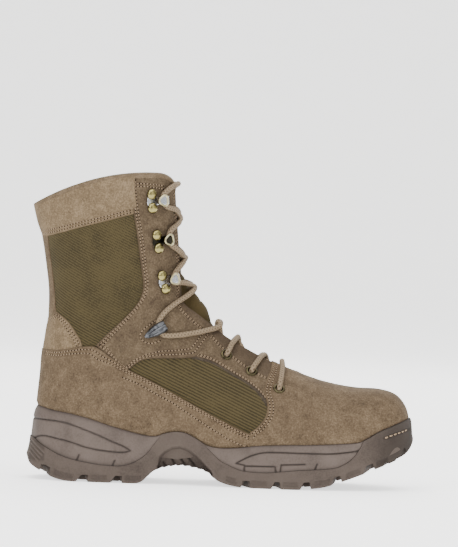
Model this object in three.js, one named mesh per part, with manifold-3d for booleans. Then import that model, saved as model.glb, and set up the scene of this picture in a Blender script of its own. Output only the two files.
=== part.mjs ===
// A lace-up combat boot for the right foot, 8 inches high, in suede and nylon
// on a lugged rubber outsole with a foam midsole.
//
// Units are millimetres. While it is being built the boot has x = 0 at the back
// of its heel and x forwards, y = 0 on its centre line with the outer (lateral)
// side at -y and the inner (medial) side at +y, and z = 0 on the floor. The
// exported group moves x = 0 to the middle of the boot's length.
import * as THREE from "three";
import { mergeVertices } from "three/addons/utils/BufferGeometryUtils.js";
import Module from "manifold-3d";

const wasm = await Module();
wasm.setup();

// ---------------------------------------------------------------- sizes
const BOOT_LENGTH = 304;
const WALL = 2.4; // suede or nylon with its lining
const GAP = 0.3; // between pieces that touch
const INSOLE_THICK = 5;
const RIM_THICK = 2.3; // sole's rim round the foot of the upper
const SIDE_RUBBER = 5; // outsole rubber that laps the midsole at arch and toe
const LUG_DEPTH = 5.5;
const RECESS_DEPTH = 4.5; // between the bars under the sole
const LACE_RADIUS = 2;
const TONGUE_THICK = 4.5;
const TONGUE_UNDER = WALL + 1.2; // tongue's face below the upper's outer surface
const FLOOR_REACH = 60; // half-length of the cutters across the boot
const FOOT_SINK = 7; // upper's lower edge before it is trimmed to the foot
const FOOT_DEPTH = -30; // below everything, for the cutters under the foot
const CLOSED_WIDTH = 16; // foot widths that add up to less than this are drawn in

// The upper is a fan of sections. A section joins a point on the front line
// (toe, vamp, instep, shin) to one on the back line (under the foot, then up
// the heel). Half-widths are measured from the centre line: wideLat and wideMed
// where the section is widest, footLat and footMed at its lower end. widest is
// the share of the section's length, from the back line, at which that is.
// round is the power of the curve over the front: 2 is an ellipse, less is more
// peaked. bow lifts the middle of a section at the collar.
const SECTION_COLUMNS = [
  "frontX", "frontZ", "backX", "backZ", "wideLat", "wideMed",
  "footLat", "footMed", "widest", "round", "bow",
];
const SECTION_ROWS = [
  [296.5, 35, 296.5, 35, 0, 0, 0, 0, 0.4, 2.3, 0], // toe tip
  [299.4, 46, 294.5, 34.4, 13.5, 15, 12, 13.5, 0.42, 2.2, 0],
  [298.6, 57, 289.5, 33.2, 22.5, 24.5, 20, 22, 0.42, 2.2, 0],
  [295, 66.5, 283, 31.4, 29.5, 32.5, 26.5, 29, 0.4, 2.2, 0],
  [287.5, 73.8, 275.5, 29.4, 35, 39, 31.8, 35.5, 0.37, 2.25, 0],
  [275, 77.1, 264.5, 27, 40, 44.2, 36.2, 39.8, 0.35, 2.3, 0], // toe box
  [257, 77.7, 251, 24.4, 45, 48.5, 40.5, 43.5, 0.33, 2.25, 0],
  [238, 80.5, 233, 22, 48.5, 50.5, 44, 45.5, 0.31, 2.1, 0],
  [221, 85, 214, 20.5, 50, 49.5, 45.5, 44.5, 0.3, 1.9, 0], // ball
  [206, 91.5, 194, 20, 49.5, 46.5, 44.5, 41, 0.3, 1.72, 0],
  [190, 101, 171, 20.5, 47, 42.5, 41.5, 35, 0.3, 1.6, 0],
  [174.5, 110.8, 147, 22.2, 44.5, 38.5, 38.5, 29.5, 0.31, 1.55, 0], // instep
  [159, 120.6, 123, 24.7, 42.5, 36.5, 37, 28.5, 0.33, 1.55, 0],
  [146, 130.8, 99, 27.5, 41, 37.5, 36, 31.5, 0.35, 1.6, 0],
  [136.5, 140.3, 73, 29.6, 40.5, 39.3, 36.5, 35, 0.37, 1.68, 0],
  [130.5, 147.6, 48, 30.4, 40.2, 39.8, 36.5, 36, 0.39, 1.75, 0],
  [127, 153.2, 29, 30.7, 40, 39.6, 32.5, 32.2, 0.4, 1.8, 0],
  [124.6, 158, 17.5, 30.9, 39.6, 39.3, 23.5, 23.3, 0.42, 1.85, 0],
  [122.9, 162.5, 11.8, 32.5, 39.3, 39, 11, 11, 0.44, 1.9, 0], // heel
  [121.4, 167.4, 9, 41, 39, 38.8, 0, 0, 0.46, 1.95, 0],
  [120, 173, 9.2, 60, 38.7, 38.5, 0, 0, 0.48, 2, 0],
  [118.8, 179, 10.9, 82, 38.5, 38.5, 0, 0, 0.5, 2, 0.5],
  [117.6, 186, 11.8, 103, 38.7, 38.7, 0, 0, 0.51, 2.02, 1.5],
  [116.2, 194, 14.6, 125, 39.3, 39.3, 0, 0, 0.52, 2.05, 3], // ankle
  [114.9, 203, 14.6, 147, 40.2, 40.2, 0, 0, 0.52, 2.08, 4.5],
  [113.6, 213, 11.8, 168, 41.3, 41.3, 0, 0, 0.52, 2.1, 6],
  [112.4, 225, 8, 189, 42.3, 42.3, 0, 0, 0.52, 2.12, 7.5],
  [111, 241, 1.5, 215.2, 43.2, 43.2, 0, 0, 0.52, 2.15, 9], // collar
];
const HEEL_CLOSED = 19; // first row with both sides meeting at the back
const COLLAR = SECTION_ROWS.length - 1;

// Outline of the sole seen from below, from heel to toe.
const OUTLINE_COLUMNS = ["x", "lateral", "medial"];
const OUTLINE_ROWS = [
  [0.8, 0, 0], [3.6, 18, 18], [10.5, 30.5, 31], [22, 38.5, 39], [40, 42.8, 42.5],
  [60, 43.8, 43], [82, 43, 41], [101, 42.3, 37.8], [120, 44.5, 35], [138, 46.5, 35],
  [156, 48.5, 39.5], [175, 51.3, 44.8], [194, 53.6, 50.3], [212, 54, 54],
  [230, 52.2, 55], [246, 49, 53], [262, 44.3, 48.5], [277, 37, 41], [289, 27.5, 31],
  [298, 16.5, 18.8], [302.6, 8, 9.2], [304, 0, 0],
];

// Heights along the sole, from heel to toe.
const TREAD_COLUMNS = ["x", "z"]; // foot of the lugs, with arch and toe spring
const TREAD_ROWS = [
  [0.8, 18.5], [4, 12.5], [12, 7.6], [20, 3.8], [28, 1.2], [38, 0], [86, 0], [92, 1.5],
  [97, 6], [102, 10.6], [110, 13.4], [122, 15.2], [134, 13.8], [143, 11], [148, 7],
  [154, 3.6], [163, 1.2], [174, 0], [212, 0], [224, 1], [236, 3], [250, 7.8],
  [264, 13], [276, 18], [288, 23], [296, 27.4], [301, 32.5], [303.4, 37.5], [304, 40],
];
const RIM_COLUMNS = ["x", "z"]; // top edge of the sole
const RIM_ROWS = [
  [0, 57], [9, 56.4], [20, 54.2], [35, 52.2], [50, 49], [65, 44.6], [80, 40.6], [93, 37.8],
  [102, 37.2], [109, 39.4], [117, 41], [125, 40.4], [133, 36.8], [141, 32], [150, 30],
  [164, 30.4], [180, 32.6], [200, 34], [225, 35], [250, 36.6], [262, 38], [269, 41.6],
  [276, 45.8], [286, 50.2], [297, 54.6], [304, 57],
];
// Where the midsole shows above the outsole, at the heel and at the forefoot.
const HEEL_FOAM = [
  [-6, 34], [5, 32], [12, 27.5], [20, 23.2], [28, 19.6], [38, 16.6], [48, 14.8],
  [60, 13.2], [75, 12.8], [83, 14.7], [90.5, 18.6], [96, 23.4], [100, 29],
  [103.5, 34], [106, 39], [107, 46], [107, 80], [-6, 80],
];
const FORE_FOAM = [
  [140.5, 46], [141, 32], [146.5, 25.6], [153, 19.9], [160, 16.4], [169, 13], [178, 12],
  [190, 12], [202, 13.2], [216, 14.8], [231, 15.8], [243, 17.4], [250.5, 20.8],
  [256, 25], [260, 30.5], [263, 36], [265, 46], [265, 80], [140.5, 80],
];
// Underside of the midsole inside the outsole.
const FOAM_FLOOR_ROWS = [
  [9, 25], [22, 17], [40, 13.2], [84, 13.2], [98, 17], [110, 18.6], [122, 19.4],
  [136, 17.8], [150, 13], [164, 12], [215, 12], [235, 14], [252, 18], [270, 25],
  [284, 29.4], [294, 33],
];

// Grooves between the side lugs: place along the sole and width.
const GROOVES = [
  [18, 5.5], [46, 7.5], [72.5, 7.5],
  [171.5, 5.5], [196, 6], [220.5, 6.5], [245, 6], [268.5, 6], [289.5, 5.5],
];
const GROOVE_IN = 18; // from the centre line to a groove's inner end
const GROOVE_HALF = 25; // half-length of a groove's cutter
const GROOVE_FAN = 0.0055; // radians of slant for each mm from the middle of a tread
const FORE_TREAD_MIDDLE = 217;
const HEEL_TREAD_MIDDLE = 50;
// Recesses under forefoot and heel, and the bars standing in them.
const LEAVES = [
  {
    from: 148, to: 284, half: 22,
    bars: [[174, 11], [193, 16], [212, 18], [232, 18.5], [253, 17], [271, 11]],
  },
  { from: 27, to: 108, half: 19, bars: [[41, 12.5], [59, 15], [77, 13], [94, 8]] },
];
const BAR_LENGTH = 10;

// Throat: half-width of the opening in front, against section number.
const THROAT_COLUMNS = ["u", "half"];
const THROAT_ROWS = [
  [8.75, 4], [9.1, 8], [10, 10.5], [12, 12.5], [15, 14], [18, 13.5], [22, 13], [27, 13], [28.5, 13],
];
const THROAT_STATIONS = [8.75, 8.95, 9.3, 10, 11.3, 12.6, 14, 16.4, 19, 22, 24.5, 28.5];
const THROAT_CUT = [-14, 10]; // depth and height of the cutter about the front line
// Tongue: half-width against section number, from its foot to its top.
const TONGUE_ROWS = [
  [8.1, 13], [9.5, 22], [11.5, 25], [14.5, 27], [18, 29], [22, 30], [26.75, 29],
];
const TONGUE_STATIONS = [8.1, 8.8, 9.5, 10.5, 12, 13.5, 15, 16.5, 18, 20, 22.5, 24.8, 26.75];

// Lacing, from toe to collar, as places on the side of the boot.
const EYELETS = [[197, 76.5], [175, 89.5], [155, 101.5]];
const EYELET = { hole: 3.7, barrel: 3.3, bore: 2.6, flange: 4.6, foot: 0.75, lip: 1.5 };
const LACE_LOCK = { at: [99.1, 118.3], towards: [107.7, 123.7], length: 17, width: 9 };
const LOCK_STRAP = { foot: 0.8, inside: 4.5, thick: 1.1 }; // inside: height of the tunnel
// Places of a hook's two rivets, upper first, and of its head.
const HOOKS = [
  { rivets: [[103, 162], [106, 151.5]], head: [113, 160.5] },
  { rivets: [[97.6, 193.5], [99.8, 183.2]], head: [107.3, 190.7] },
  { rivets: [[92.6, 225], [94.2, 214.4]], head: [102, 220.6] },
];
const RIVET_RADIUS = 4;
const RIVET_HEIGHT = 2.2;
const HOOK_STEEL = 1;
const HOOK_FOOT = 1.2; // underside of a hook's plate above the upper's surface
const HOOK_WIDTH = 8.5;
const HOOK_NECK = 10.5; // rivets' line to the bend of the hook
const HOOK_BEND = 2.35; // inner radius, to take the lace
const HOOK_TIP = 5; // rivets' line to the free end of the head

// The lace, from toe to collar, as places on the upper's surface: section, turn
// (0 lateral foot, 1 front line, 2 medial foot) and the cord's height above it.
// Each crossing is its row and the same row mirrored to the other side.
const LACE_BAR = [[9.35, 0.61, 4.4], [9.38, 0.69, 3], [9.43, 0.8, 2.8], [9.5, 1, 2.4]];
const CROSSINGS = [
  [[9.78, 1.06, 1.6], [9.95, 1, 1.4], [10.25, 0.84, 2.8], [10.5, 0.74, 3], [10.64, 0.66, 4.4]],
  [[11.1, 1.16, -0.4], [11.45, 1, 1.4], [11.68, 0.84, 2.8], [11.8, 0.75, 3], [11.84, 0.677, 4.4]],
  [[12.2, 1.16, -0.4], [12.55, 1, 1.4], [13, 0.85, 2.8], [13.9, 0.7, 2.6], [15.05, 0.57, 2.7]],
  [
    [17, 0.66, 2.7], [16.3, 0.8, 2.8], [15.7, 0.92, 2.4], [15.6, 1, 1.4], [15.9, 1.07, 1.8],
    [18, 1.14, 3.4],
  ],
  [[20.6, 0.83, 4], [20.3, 0.9, 2.6], [20.15, 1, 1.2], [20.5, 1.07, 1.8], [22, 1.15, 3.8]],
  [[23.9, 0.83, 4], [24.1, 0.9, 2.6], [24.4, 1, 1.2], [24.6, 1.08, 1.8], [25, 1.17, 3.8]],
  [[26.25, 0.81, 4.2], [26.5, 0.88, 3.1], [26.75, 1, 1.8], [26.8, 1.04, 1], [26.85, 1.06, 0.6]],
];

// ---------------------------------------------------------------- numbers
// Smooth curve through a table: one value against another, straight past its ends.
function tableCurve(rows, column, key = 0) {
  const slope = (i) => {
    const a = rows[Math.max(0, i - 1)];
    const b = rows[Math.min(rows.length - 1, i + 1)];
    return (b[column] - a[column]) / (b[key] - a[key]);
  };
  return (t) => {
    let i = rows.findIndex((row) => row[key] > t) - 1;
    if (i === -2) i = rows.length - 2;
    i = Math.max(0, i);
    const width = rows[i + 1][key] - rows[i][key];
    const s = (t - rows[i][key]) / width;
    const [p, q] = [rows[i][column], rows[i + 1][column]];
    if (s < 0) return p + slope(i) * s * width;
    if (s > 1) return q + slope(i + 1) * (s - 1) * width;
    const [mp, mq] = [slope(i) * width, slope(i + 1) * width];
    return p * (1 + 2 * s) * (1 - s) ** 2 + mp * s * (1 - s) ** 2
      + q * (3 - 2 * s) * s ** 2 - mq * s ** 2 * (1 - s);
  };
}

function span(from, to, count) {
  return Array.from({ length: count }, (_, i) => from + ((to - from) * i) / (count - 1));
}

const numbered = SECTION_ROWS.map((row, i) => [i, ...row]);
const section = Object.fromEntries(
  SECTION_COLUMNS.map((name, i) => [name, tableCurve(numbered, i + 1)]),
);
const outline = Object.fromEntries(
  OUTLINE_COLUMNS.map((name, i) => [name, tableCurve(OUTLINE_ROWS.map((row, k) => [k, ...row]), i + 1)]),
);
const treadCurve = tableCurve(TREAD_ROWS, TREAD_COLUMNS.indexOf("z"));
const treadHeight = (x) => Math.max(0, treadCurve(x));
const rimHeight = tableCurve(RIM_ROWS, RIM_COLUMNS.indexOf("z"));
const foamFloor = tableCurve(FOAM_FLOOR_ROWS, 1);
const throatHalf = tableCurve(THROAT_ROWS, THROAT_COLUMNS.indexOf("half"));
const tongueHalf = tableCurve(TONGUE_ROWS, 1);

// ---------------------------------------------------------------- the upper's surface
// A point of the outer surface. u is the section number. v runs from 0 at the
// lateral foot of the section over the front line at 1 to the medial foot at 2.
function onUpper(u, v) {
  const side = v <= 1 ? -1 : 1;
  const rise = v <= 1 ? v : 2 - v;
  const wide = Math.max(0, side < 0 ? section.wideLat(u) : section.wideMed(u));
  const foot = u >= HEEL_CLOSED ? 0 : Math.max(0, side < 0 ? section.footLat(u) : section.footMed(u));
  const power = 2 / section.round(u);
  const widest = section.widest(u);
  const low = wide > 0 ? Math.asin(Math.min(0.98, foot / wide)) : 0;
  const angle = low + (Math.PI - low) * rise;
  let [along, across] = [0, 0];
  if (angle < Math.PI / 2) {
    along = widest * (1 - Math.cos(angle) / Math.cos(low));
    across = wide * Math.sin(angle);
  } else {
    along = widest + (1 - widest) * Math.abs(Math.cos(angle)) ** power;
    across = wide * Math.abs(Math.sin(angle)) ** power;
  }
  const lift = section.bow(u) * 4 * along * (1 - along);
  return new THREE.Vector3(
    section.backX(u) + along * (section.frontX(u) - section.backX(u)) - lift * 0.24,
    side * across,
    section.backZ(u) + along * (section.frontZ(u) - section.backZ(u)) + lift,
  );
}

// Outward normal of the upper's surface.
function upperNormal(u, v) {
  const at = Math.max(u, 0.06);
  const step = 0.02;
  const closed = at >= HEEL_CLOSED;
  const before = v - step < 0 ? (closed ? 2 + v - step : 0) : v - step;
  const after = v + step > 2 ? (closed ? v + step - 2 : 2) : v + step;
  const across = onUpper(at, after).sub(onUpper(at, before));
  const along = onUpper(at + step, v).sub(onUpper(at - step, v));
  return across.cross(along).normalize();
}

// The surface moved out by a distance, or in by a negative one.
function offUpper(u, v, out) {
  return onUpper(u, v).addScaledVector(upperNormal(u, v), out);
}

// Section and turn (u, v) of the upper's surface at a place on its side.
function placeOnSide(x, z, side) {
  let [u, v] = [14, 0.6];
  let nearest = Infinity;
  for (const tryU of span(1, COLLAR, 90)) {
    for (const rise of span(0.02, 0.98, 60)) {
      const p = onUpper(tryU, rise);
      const away = Math.hypot(p.x - x, p.z - z);
      if (away < nearest) [nearest, u, v] = [away, tryU, rise];
    }
  }
  for (let pass = 0, step = 0.15; pass < 24; pass += 1, step *= 0.75) {
    for (const [du, dv] of [[step, 0], [-step, 0], [0, step * 0.15], [0, -step * 0.15]]) {
      const p = onUpper(u + du, v + dv);
      const away = Math.hypot(p.x - x, p.z - z);
      if (away < nearest) [nearest, u, v] = [away, u + du, v + dv];
    }
  }
  return [u, side < 0 ? v : 2 - v];
}

// ---------------------------------------------------------------- solids
// A closed solid from a geometry.
function solidOf(geometry) {
  const bare = geometry.clone();
  for (const name of ["normal", "uv"]) bare.deleteAttribute(name);
  const merged = mergeVertices(bare, 1e-4);
  const index = merged.index.array;
  const faces = [];
  for (let i = 0; i < index.length; i += 3) {
    const [a, b, c] = index.slice(i, i + 3);
    if (a !== b && b !== c && c !== a) faces.push(a, b, c);
  }
  return new wasm.Manifold(new wasm.Mesh({
    numProp: 3,
    vertProperties: new Float32Array(merged.attributes.position.array),
    triVerts: new Uint32Array(faces),
  }));
}

function geometryOf(solid) {
  const mesh = solid.getMesh();
  return new THREE.BufferGeometry()
    .setAttribute("position", new THREE.BufferAttribute(mesh.vertProperties, 3))
    .setIndex(new THREE.BufferAttribute(mesh.triVerts, 1));
}

// A solid through a row of closed loops of as many points each, capped at both ends.
function loft(loops) {
  const size = loops[0].length;
  const points = loops.flat();
  const faces = [];
  for (let k = 0; k + 1 < loops.length; k += 1) {
    for (let i = 0; i < size; i += 1) {
      const [a, b] = [k * size + i, k * size + ((i + 1) % size)];
      faces.push(a, b, b + size, a, b + size, a + size);
    }
  }
  for (const [k, outward] of [[0, false], [loops.length - 1, true]]) {
    const middle = loops[k].reduce((sum, p) => sum.add(p), new THREE.Vector3()).divideScalar(size);
    points.push(middle);
    for (let i = 0; i < size; i += 1) {
      const [a, b] = [k * size + i, k * size + ((i + 1) % size)];
      if (outward) faces.push(a, b, points.length - 1);
      else faces.push(b, a, points.length - 1);
    }
  }
  return facingOut(new THREE.BufferGeometry().setFromPoints(points).setIndex(faces));
}

// A closed solid from a geometry whose faces may all point in.
function facingOut(geometry) {
  const solid = solidOf(geometry);
  if (solid.volume() > 0) return solid;
  const turnedOver = geometry.clone().setIndex(Array.from(geometry.index.array).reverse());
  return solidOf(turnedOver);
}

// A prism through the boot from side to side, drawn as x and z.
function sidePrism(points, half = FLOOR_REACH) {
  const shape = new THREE.Shape(points.map(([x, z]) => new THREE.Vector2(x, z)));
  const prism = new THREE.ExtrudeGeometry(shape, { depth: 2 * half, bevelEnabled: false });
  return solidOf(prism.rotateX(Math.PI / 2).translate(0, half, 0));
}

// A side prism between two heights that change along the sole.
function sideBand(xs, low, high) {
  const loops = xs.map((x) => [
    new THREE.Vector3(x, -FLOOR_REACH, low(x)), new THREE.Vector3(x, FLOOR_REACH, low(x)),
    new THREE.Vector3(x, FLOOR_REACH, high(x)), new THREE.Vector3(x, -FLOOR_REACH, high(x)),
  ]);
  return loft(loops);
}

// A row of stations for the upper's sections, closer at toe and heel.
const UPPER_STATIONS = [
  0, 0.3, 0.9, 1.7, 2.6, 3.5, 4.4, 5.4, 6.5, 7.6, 8.75, 10, 11.3, 12.6, 14, 15.2, 16.4,
  17.4, 18.2, 19, 19.8, 20.8, 22, 23.2, 24.5, 26, COLLAR,
];
const AROUND = span(0, 1, 11).map((t) => t ** 0.9);
const TURN_STATIONS = [...AROUND, ...AROUND.slice(0, -1).reverse().map((t) => 2 - t)];

// The last's form as a solid, moved out by a distance, its lower edge lowered.
function lastForm(out, lower, stations = UPPER_STATIONS) {
  return loft(stations.map((u) => TURN_STATIONS.map((v) => {
    const p = offUpper(u, v, out);
    if (u === 0) p.set(section.frontX(0) + out, 0, section.frontZ(0));
    const isFoot = v === 0 || v === 2;
    const wide = section.footLat(u) + section.footMed(u);
    const opened = u >= HEEL_CLOSED ? 0 : Math.min(1, wide / CLOSED_WIDTH);
    if (isFoot) p.z -= lower * opened;
    return p;
  })));
}

// Everything below the lower edge of the upper, lowered by a distance.
const FOOT_XS = [
  -20, 9, 14, 29, 48, 73, 99, 123, 147, 171, 194, 214, 233, 251, 266, 277, 285, 290.5, 300, 320,
];
const footRows = SECTION_ROWS.slice(0, HEEL_CLOSED).reverse().map((row) => [row[2], row[3]]);
const footEdge = tableCurve([[-20, 31], [9, 31], ...footRows.slice(1), [320, 42]], 1);
function belowFoot(lower) {
  return sideBand(FOOT_XS, () => FOOT_DEPTH, (x) => footEdge(x) - lower);
}

// Frame on the upper's surface at a place, its first axis towards a second place
// and its third away from the boot.
function frameOnSide([x, z], [towardX, towardZ], side) {
  const here = placeOnSide(x, z, side);
  const there = placeOnSide(towardX, towardZ, side);
  const origin = onUpper(...here);
  const ahead = onUpper(...there).sub(origin).normalize();
  const normal = upperNormal(...here).add(upperNormal(...there));
  normal.addScaledVector(ahead, -normal.dot(ahead)).normalize();
  const across = new THREE.Vector3().crossVectors(normal, ahead);
  return new THREE.Matrix4().makeBasis(ahead, across, normal).setPosition(origin);
}

// Frame of a round piece, square to the surface at its own place.
function spotFrame([x, z], side) {
  return frameOnSide([x, z], [x + 0.5, z + 1], side);
}

function turned(solid, matrix) {
  return solidOf(geometryOf(solid).applyMatrix4(matrix));
}

function cylinder(radius, from, to, sides) {
  return loft([from, to].map((z) => span(0, 2 * Math.PI, sides + 1).slice(0, -1)
    .map((a) => new THREE.Vector3(radius * Math.cos(a), radius * Math.sin(a), z))));
}

// ---------------------------------------------------------------- upper, tongue, insole
function upperSolid() {
  const past = COLLAR + 0.25; // the inside runs out above the collar
  const inside = lastForm(-WALL, 10, [...UPPER_STATIONS.slice(0, -1), COLLAR, past]);
  let upper = lastForm(0, FOOT_SINK).subtract(inside).subtract(belowFoot(0));
  const throat = loft(THROAT_STATIONS.map((u) => {
    const ridge = onUpper(u, 1);
    const normal = upperNormal(u, 1);
    const half = throatHalf(u);
    const [deep, high] = THROAT_CUT;
    return [[-half, deep], [half, deep], [half, high], [-half, high]].map(([y, out]) =>
      ridge.clone().addScaledVector(normal, out).setY(y));
  }));
  upper = upper.subtract(throat);
  for (const side of [-1, 1]) {
    for (const place of EYELETS) {
      upper = upper.subtract(turned(cylinder(EYELET.hole, -8, 5, 8), spotFrame(place, side)));
    }
  }
  return upper;
}

function tongueSolid() {
  const turns = span(-1, 1, 9);
  return loft(TONGUE_STATIONS.map((u) => {
    const half = tongueHalf(u);
    const layer = (depth) => turns.map((t) => {
      // step out along the section until the half-width is reached
      let v = 1;
      while (Math.abs(onUpper(u, v).y) < Math.abs(t) * half && v > 0.3) v -= 0.01;
      return offUpper(u, t < 0 ? v : 2 - v, -depth);
    });
    return [...layer(TONGUE_UNDER), ...layer(TONGUE_UNDER + TONGUE_THICK).reverse()];
  }));
}

function insoleSolid() {
  const slab = sideBand(FOOT_XS, footEdge, (x) => footEdge(x) + INSOLE_THICK);
  const stations = UPPER_STATIONS.filter((u) => u <= 20.8);
  return lastForm(-WALL - 3 * GAP, 8, stations).intersect(slab);
}

// ---------------------------------------------------------------- sole
// Line where the sole's rim lies on the upper, from heel to toe, on one side.
function rimLine(side) {
  const line = span(19.8, 1.85, 60).map((u) => {
    const rises = span(0, 1, 160).map((t) => onUpper(u, side < 0 ? t : 2 - t));
    const over = rises.findIndex((p) => p.z > rimHeight(p.x));
    if (over === -1) return rises.at(-1);
    if (over === 0) return rises[0];
    const [p, q] = [rises[over - 1], rises[over]];
    const [below, above] = [rimHeight(p.x) - p.z, q.z - rimHeight(q.x)];
    return p.clone().lerp(q, below / (below + above));
  });
  return line.map((p, i) => {
    const before = line[Math.max(0, i - 1)];
    const after = line[Math.min(line.length - 1, i + 1)];
    const out = new THREE.Vector3(after.y - before.y, before.x - after.x, 0).normalize();
    if (out.y * side < 0) out.negate();
    if (i === 0) out.set(-1, 0, 0);
    if (i === line.length - 1) out.set(1, 0, 0);
    return p.clone().addScaledVector(out, RIM_THICK);
  });
}

// Points at shares of a line's own length.
function atShares(line, shares) {
  const run = [0];
  line.slice(1).forEach((p, i) => run.push(run[i] + Math.hypot(p.x - line[i].x, p.y - line[i].y)));
  return shares.map((share) => {
    const want = share * run.at(-1);
    const i = Math.min(line.length - 2, Math.max(0, run.findIndex((r) => r >= want) - 1));
    return line[i].clone().lerp(line[i + 1], (want - run[i]) / (run[i + 1] - run[i] || 1));
  });
}

const SOLE_MIDDLE = 152; // the block's sides move in towards this place
const SOLE_HALF_LENGTH = 150;
const SOLE_HALF_WIDTH = 46;
// How far the sole's side leans from its tread (0) to its rim (1), against height.
const sideLean = tableCurve([[0, 0], [0.2, 0.28], [0.5, 0.45], [0.85, 0.68], [1, 1]], 1);
const SIDE_HEIGHTS = [0, 0.3, 1];
const SOLE_STATIONS = 31;

// The whole sole as one block, its sides moved in by a distance.
function soleBlock(inset) {
  const last = OUTLINE_ROWS.length - 1;
  const tread = (side) => span(0, last, 4 * last + 1).map((s) => {
    const half = Math.max(0, side < 0 ? outline.lateral(s) : outline.medial(s));
    return new THREE.Vector3(outline.x(s), side * (s === 0 || s === last ? 0 : half), 0);
  });
  const shares = span(0, 1, SOLE_STATIONS);
  const [lateral, medial] = [-1, 1].map((side) => {
    const foot = atShares(tread(side), shares);
    const rim = atShares(rimLine(side), shares);
    return foot.map((p, i) => SIDE_HEIGHTS.map((height) => {
      const lean = sideLean(height);
      const at = p.clone().lerp(rim[i], lean);
      if (i === 0 || i === foot.length - 1) at.y = 0;
      const shorter = 1 - inset / SOLE_HALF_LENGTH;
      const narrower = 1 - inset / SOLE_HALF_WIDTH;
      at.set(SOLE_MIDDLE + (at.x - SOLE_MIDDLE) * shorter, at.y * narrower, 0);
      at.z = treadHeight(p.x) + height * (rimHeight(rim[i].x) - treadHeight(p.x));
      return at;
    }));
  });
  return loft(shares.map((_, i) => [...lateral[i], ...medial[i].slice().reverse()]));
}

// Where the midsole is, grown by a distance, before the upper is taken out of it.
function foamSpace(grow) {
  const sink = (points) => points.map(([x, z]) => [x, z > 60 ? z : z - grow]);
  const shown = sidePrism(sink(HEEL_FOAM)).add(sidePrism(sink(FORE_FOAM)));
  const xs = FOAM_FLOOR_ROWS.map(([x]) => x);
  const core = sideBand(xs, (x) => foamFloor(x) - grow, (x) => footEdge(x) + 1 + grow);
  return shown.add(soleBlock(SIDE_RUBBER - grow).intersect(core));
}

// Grooves that part the side lugs, cut up from the tread.
function grooveCutters() {
  const cutters = [];
  for (const [x, width] of GROOVES) {
    const slope = Math.atan2(treadHeight(x + 4) - treadHeight(x - 4), 8);
    const middle = x < 120 ? HEEL_TREAD_MIDDLE : FORE_TREAD_MIDDLE;
    const box = sidePrism([
      [-width * 0.7, -14], [width * 0.7, -14], [width * 0.62, 0],
      [width * 0.36, LUG_DEPTH], [-width * 0.36, LUG_DEPTH], [-width * 0.62, 0],
    ], GROOVE_HALF);
    for (const side of [-1, 1]) {
      const at = [x, side * (GROOVE_IN + GROOVE_HALF), treadHeight(x)];
      const matrix = new THREE.Matrix4().makeTranslation(...at)
        .multiply(new THREE.Matrix4().makeRotationZ(side * (x - middle) * GROOVE_FAN))
        .multiply(new THREE.Matrix4().makeRotationY(-slope));
      cutters.push(turned(box, matrix));
    }
  }
  return cutters;
}

// A leaf-shaped recess with bars left standing across it.
function leafCutter({ from, to, half, bars }) {
  const middle = (from + to) / 2;
  const xs = span(from, to, 9);
  const width = (x) => Math.max(0.5, half * (1 - Math.abs((x - middle) / (to - middle)) ** 2.2));
  const leaf = loft(xs.map((x) => [-1, 1].flatMap((side) => {
    const [low, high] = [treadHeight(x) - 12, treadHeight(x) + RECESS_DEPTH];
    const heights = side < 0 ? [low, high] : [high, low];
    return heights.map((z) => new THREE.Vector3(x, side * width(x), z));
  })));
  return bars.reduce((cutter, [x, barHalf]) => cutter.subtract(sidePrism([
    [x - BAR_LENGTH / 2, -20], [x + BAR_LENGTH / 2, -20],
    [x + BAR_LENGTH / 2, 60], [x - BAR_LENGTH / 2, 60],
  ], barHalf)), leaf);
}

function soleSolids() {
  const foot = lastForm(GAP, FOOT_SINK + GAP).subtract(belowFoot(GAP));
  const block = soleBlock(0);
  const midsole = block.intersect(foamSpace(0)).subtract(foot);
  let outsole = block.subtract(foamSpace(GAP)).subtract(foot);
  for (const cutter of grooveCutters()) outsole = outsole.subtract(cutter);
  for (const leaf of LEAVES) outsole = outsole.subtract(leafCutter(leaf));
  return { outsole, midsole };
}

// ---------------------------------------------------------------- hardware
function eyeletSolid(place, side) {
  const { barrel, bore, flange, foot, lip } = EYELET;
  const profile = [
    [bore, -WALL - 0.2], [barrel, -WALL - 0.2], [barrel, foot], [flange, foot],
    [flange - 0.4, lip], [bore, lip],
  ].map(([r, z]) => new THREE.Vector2(r, z));
  const ring = new THREE.LatheGeometry([...profile, profile[0]], 8).rotateX(Math.PI / 2);
  return turned(facingOut(ring), spotFrame(place, side));
}

// The frame of a hook: its origin midway between the rivets, its first axis to the throat.
function hookFrame({ rivets: [upper, lower], head }, side) {
  return frameOnSide([(upper[0] + lower[0]) / 2, (upper[1] + lower[1]) / 2], head, side);
}

function hookSolid(hook, side) {
  const steel = HOOK_STEEL;
  const floor = HOOK_FOOT;
  const outer = HOOK_BEND + steel;
  const centre = floor + outer;
  const arc = (radius, from, to) => span(from, to, 6).map((a) =>
    [HOOK_NECK + radius * Math.sin(a), centre - radius * Math.cos(a)]);
  const profile = [
    [-5, floor], [HOOK_NECK, floor], ...arc(outer, 0.3, Math.PI - 0.3), [HOOK_NECK, centre + outer],
    [HOOK_TIP, centre + outer], [HOOK_TIP, centre + HOOK_BEND], [HOOK_NECK, centre + HOOK_BEND],
    ...arc(HOOK_BEND, Math.PI - 0.4, 0.4), [HOOK_NECK, floor + steel], [-5, floor + steel],
  ];
  const half = HOOK_WIDTH / 2;
  return turned(sidePrism(profile, half), hookFrame(hook, side));
}

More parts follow.
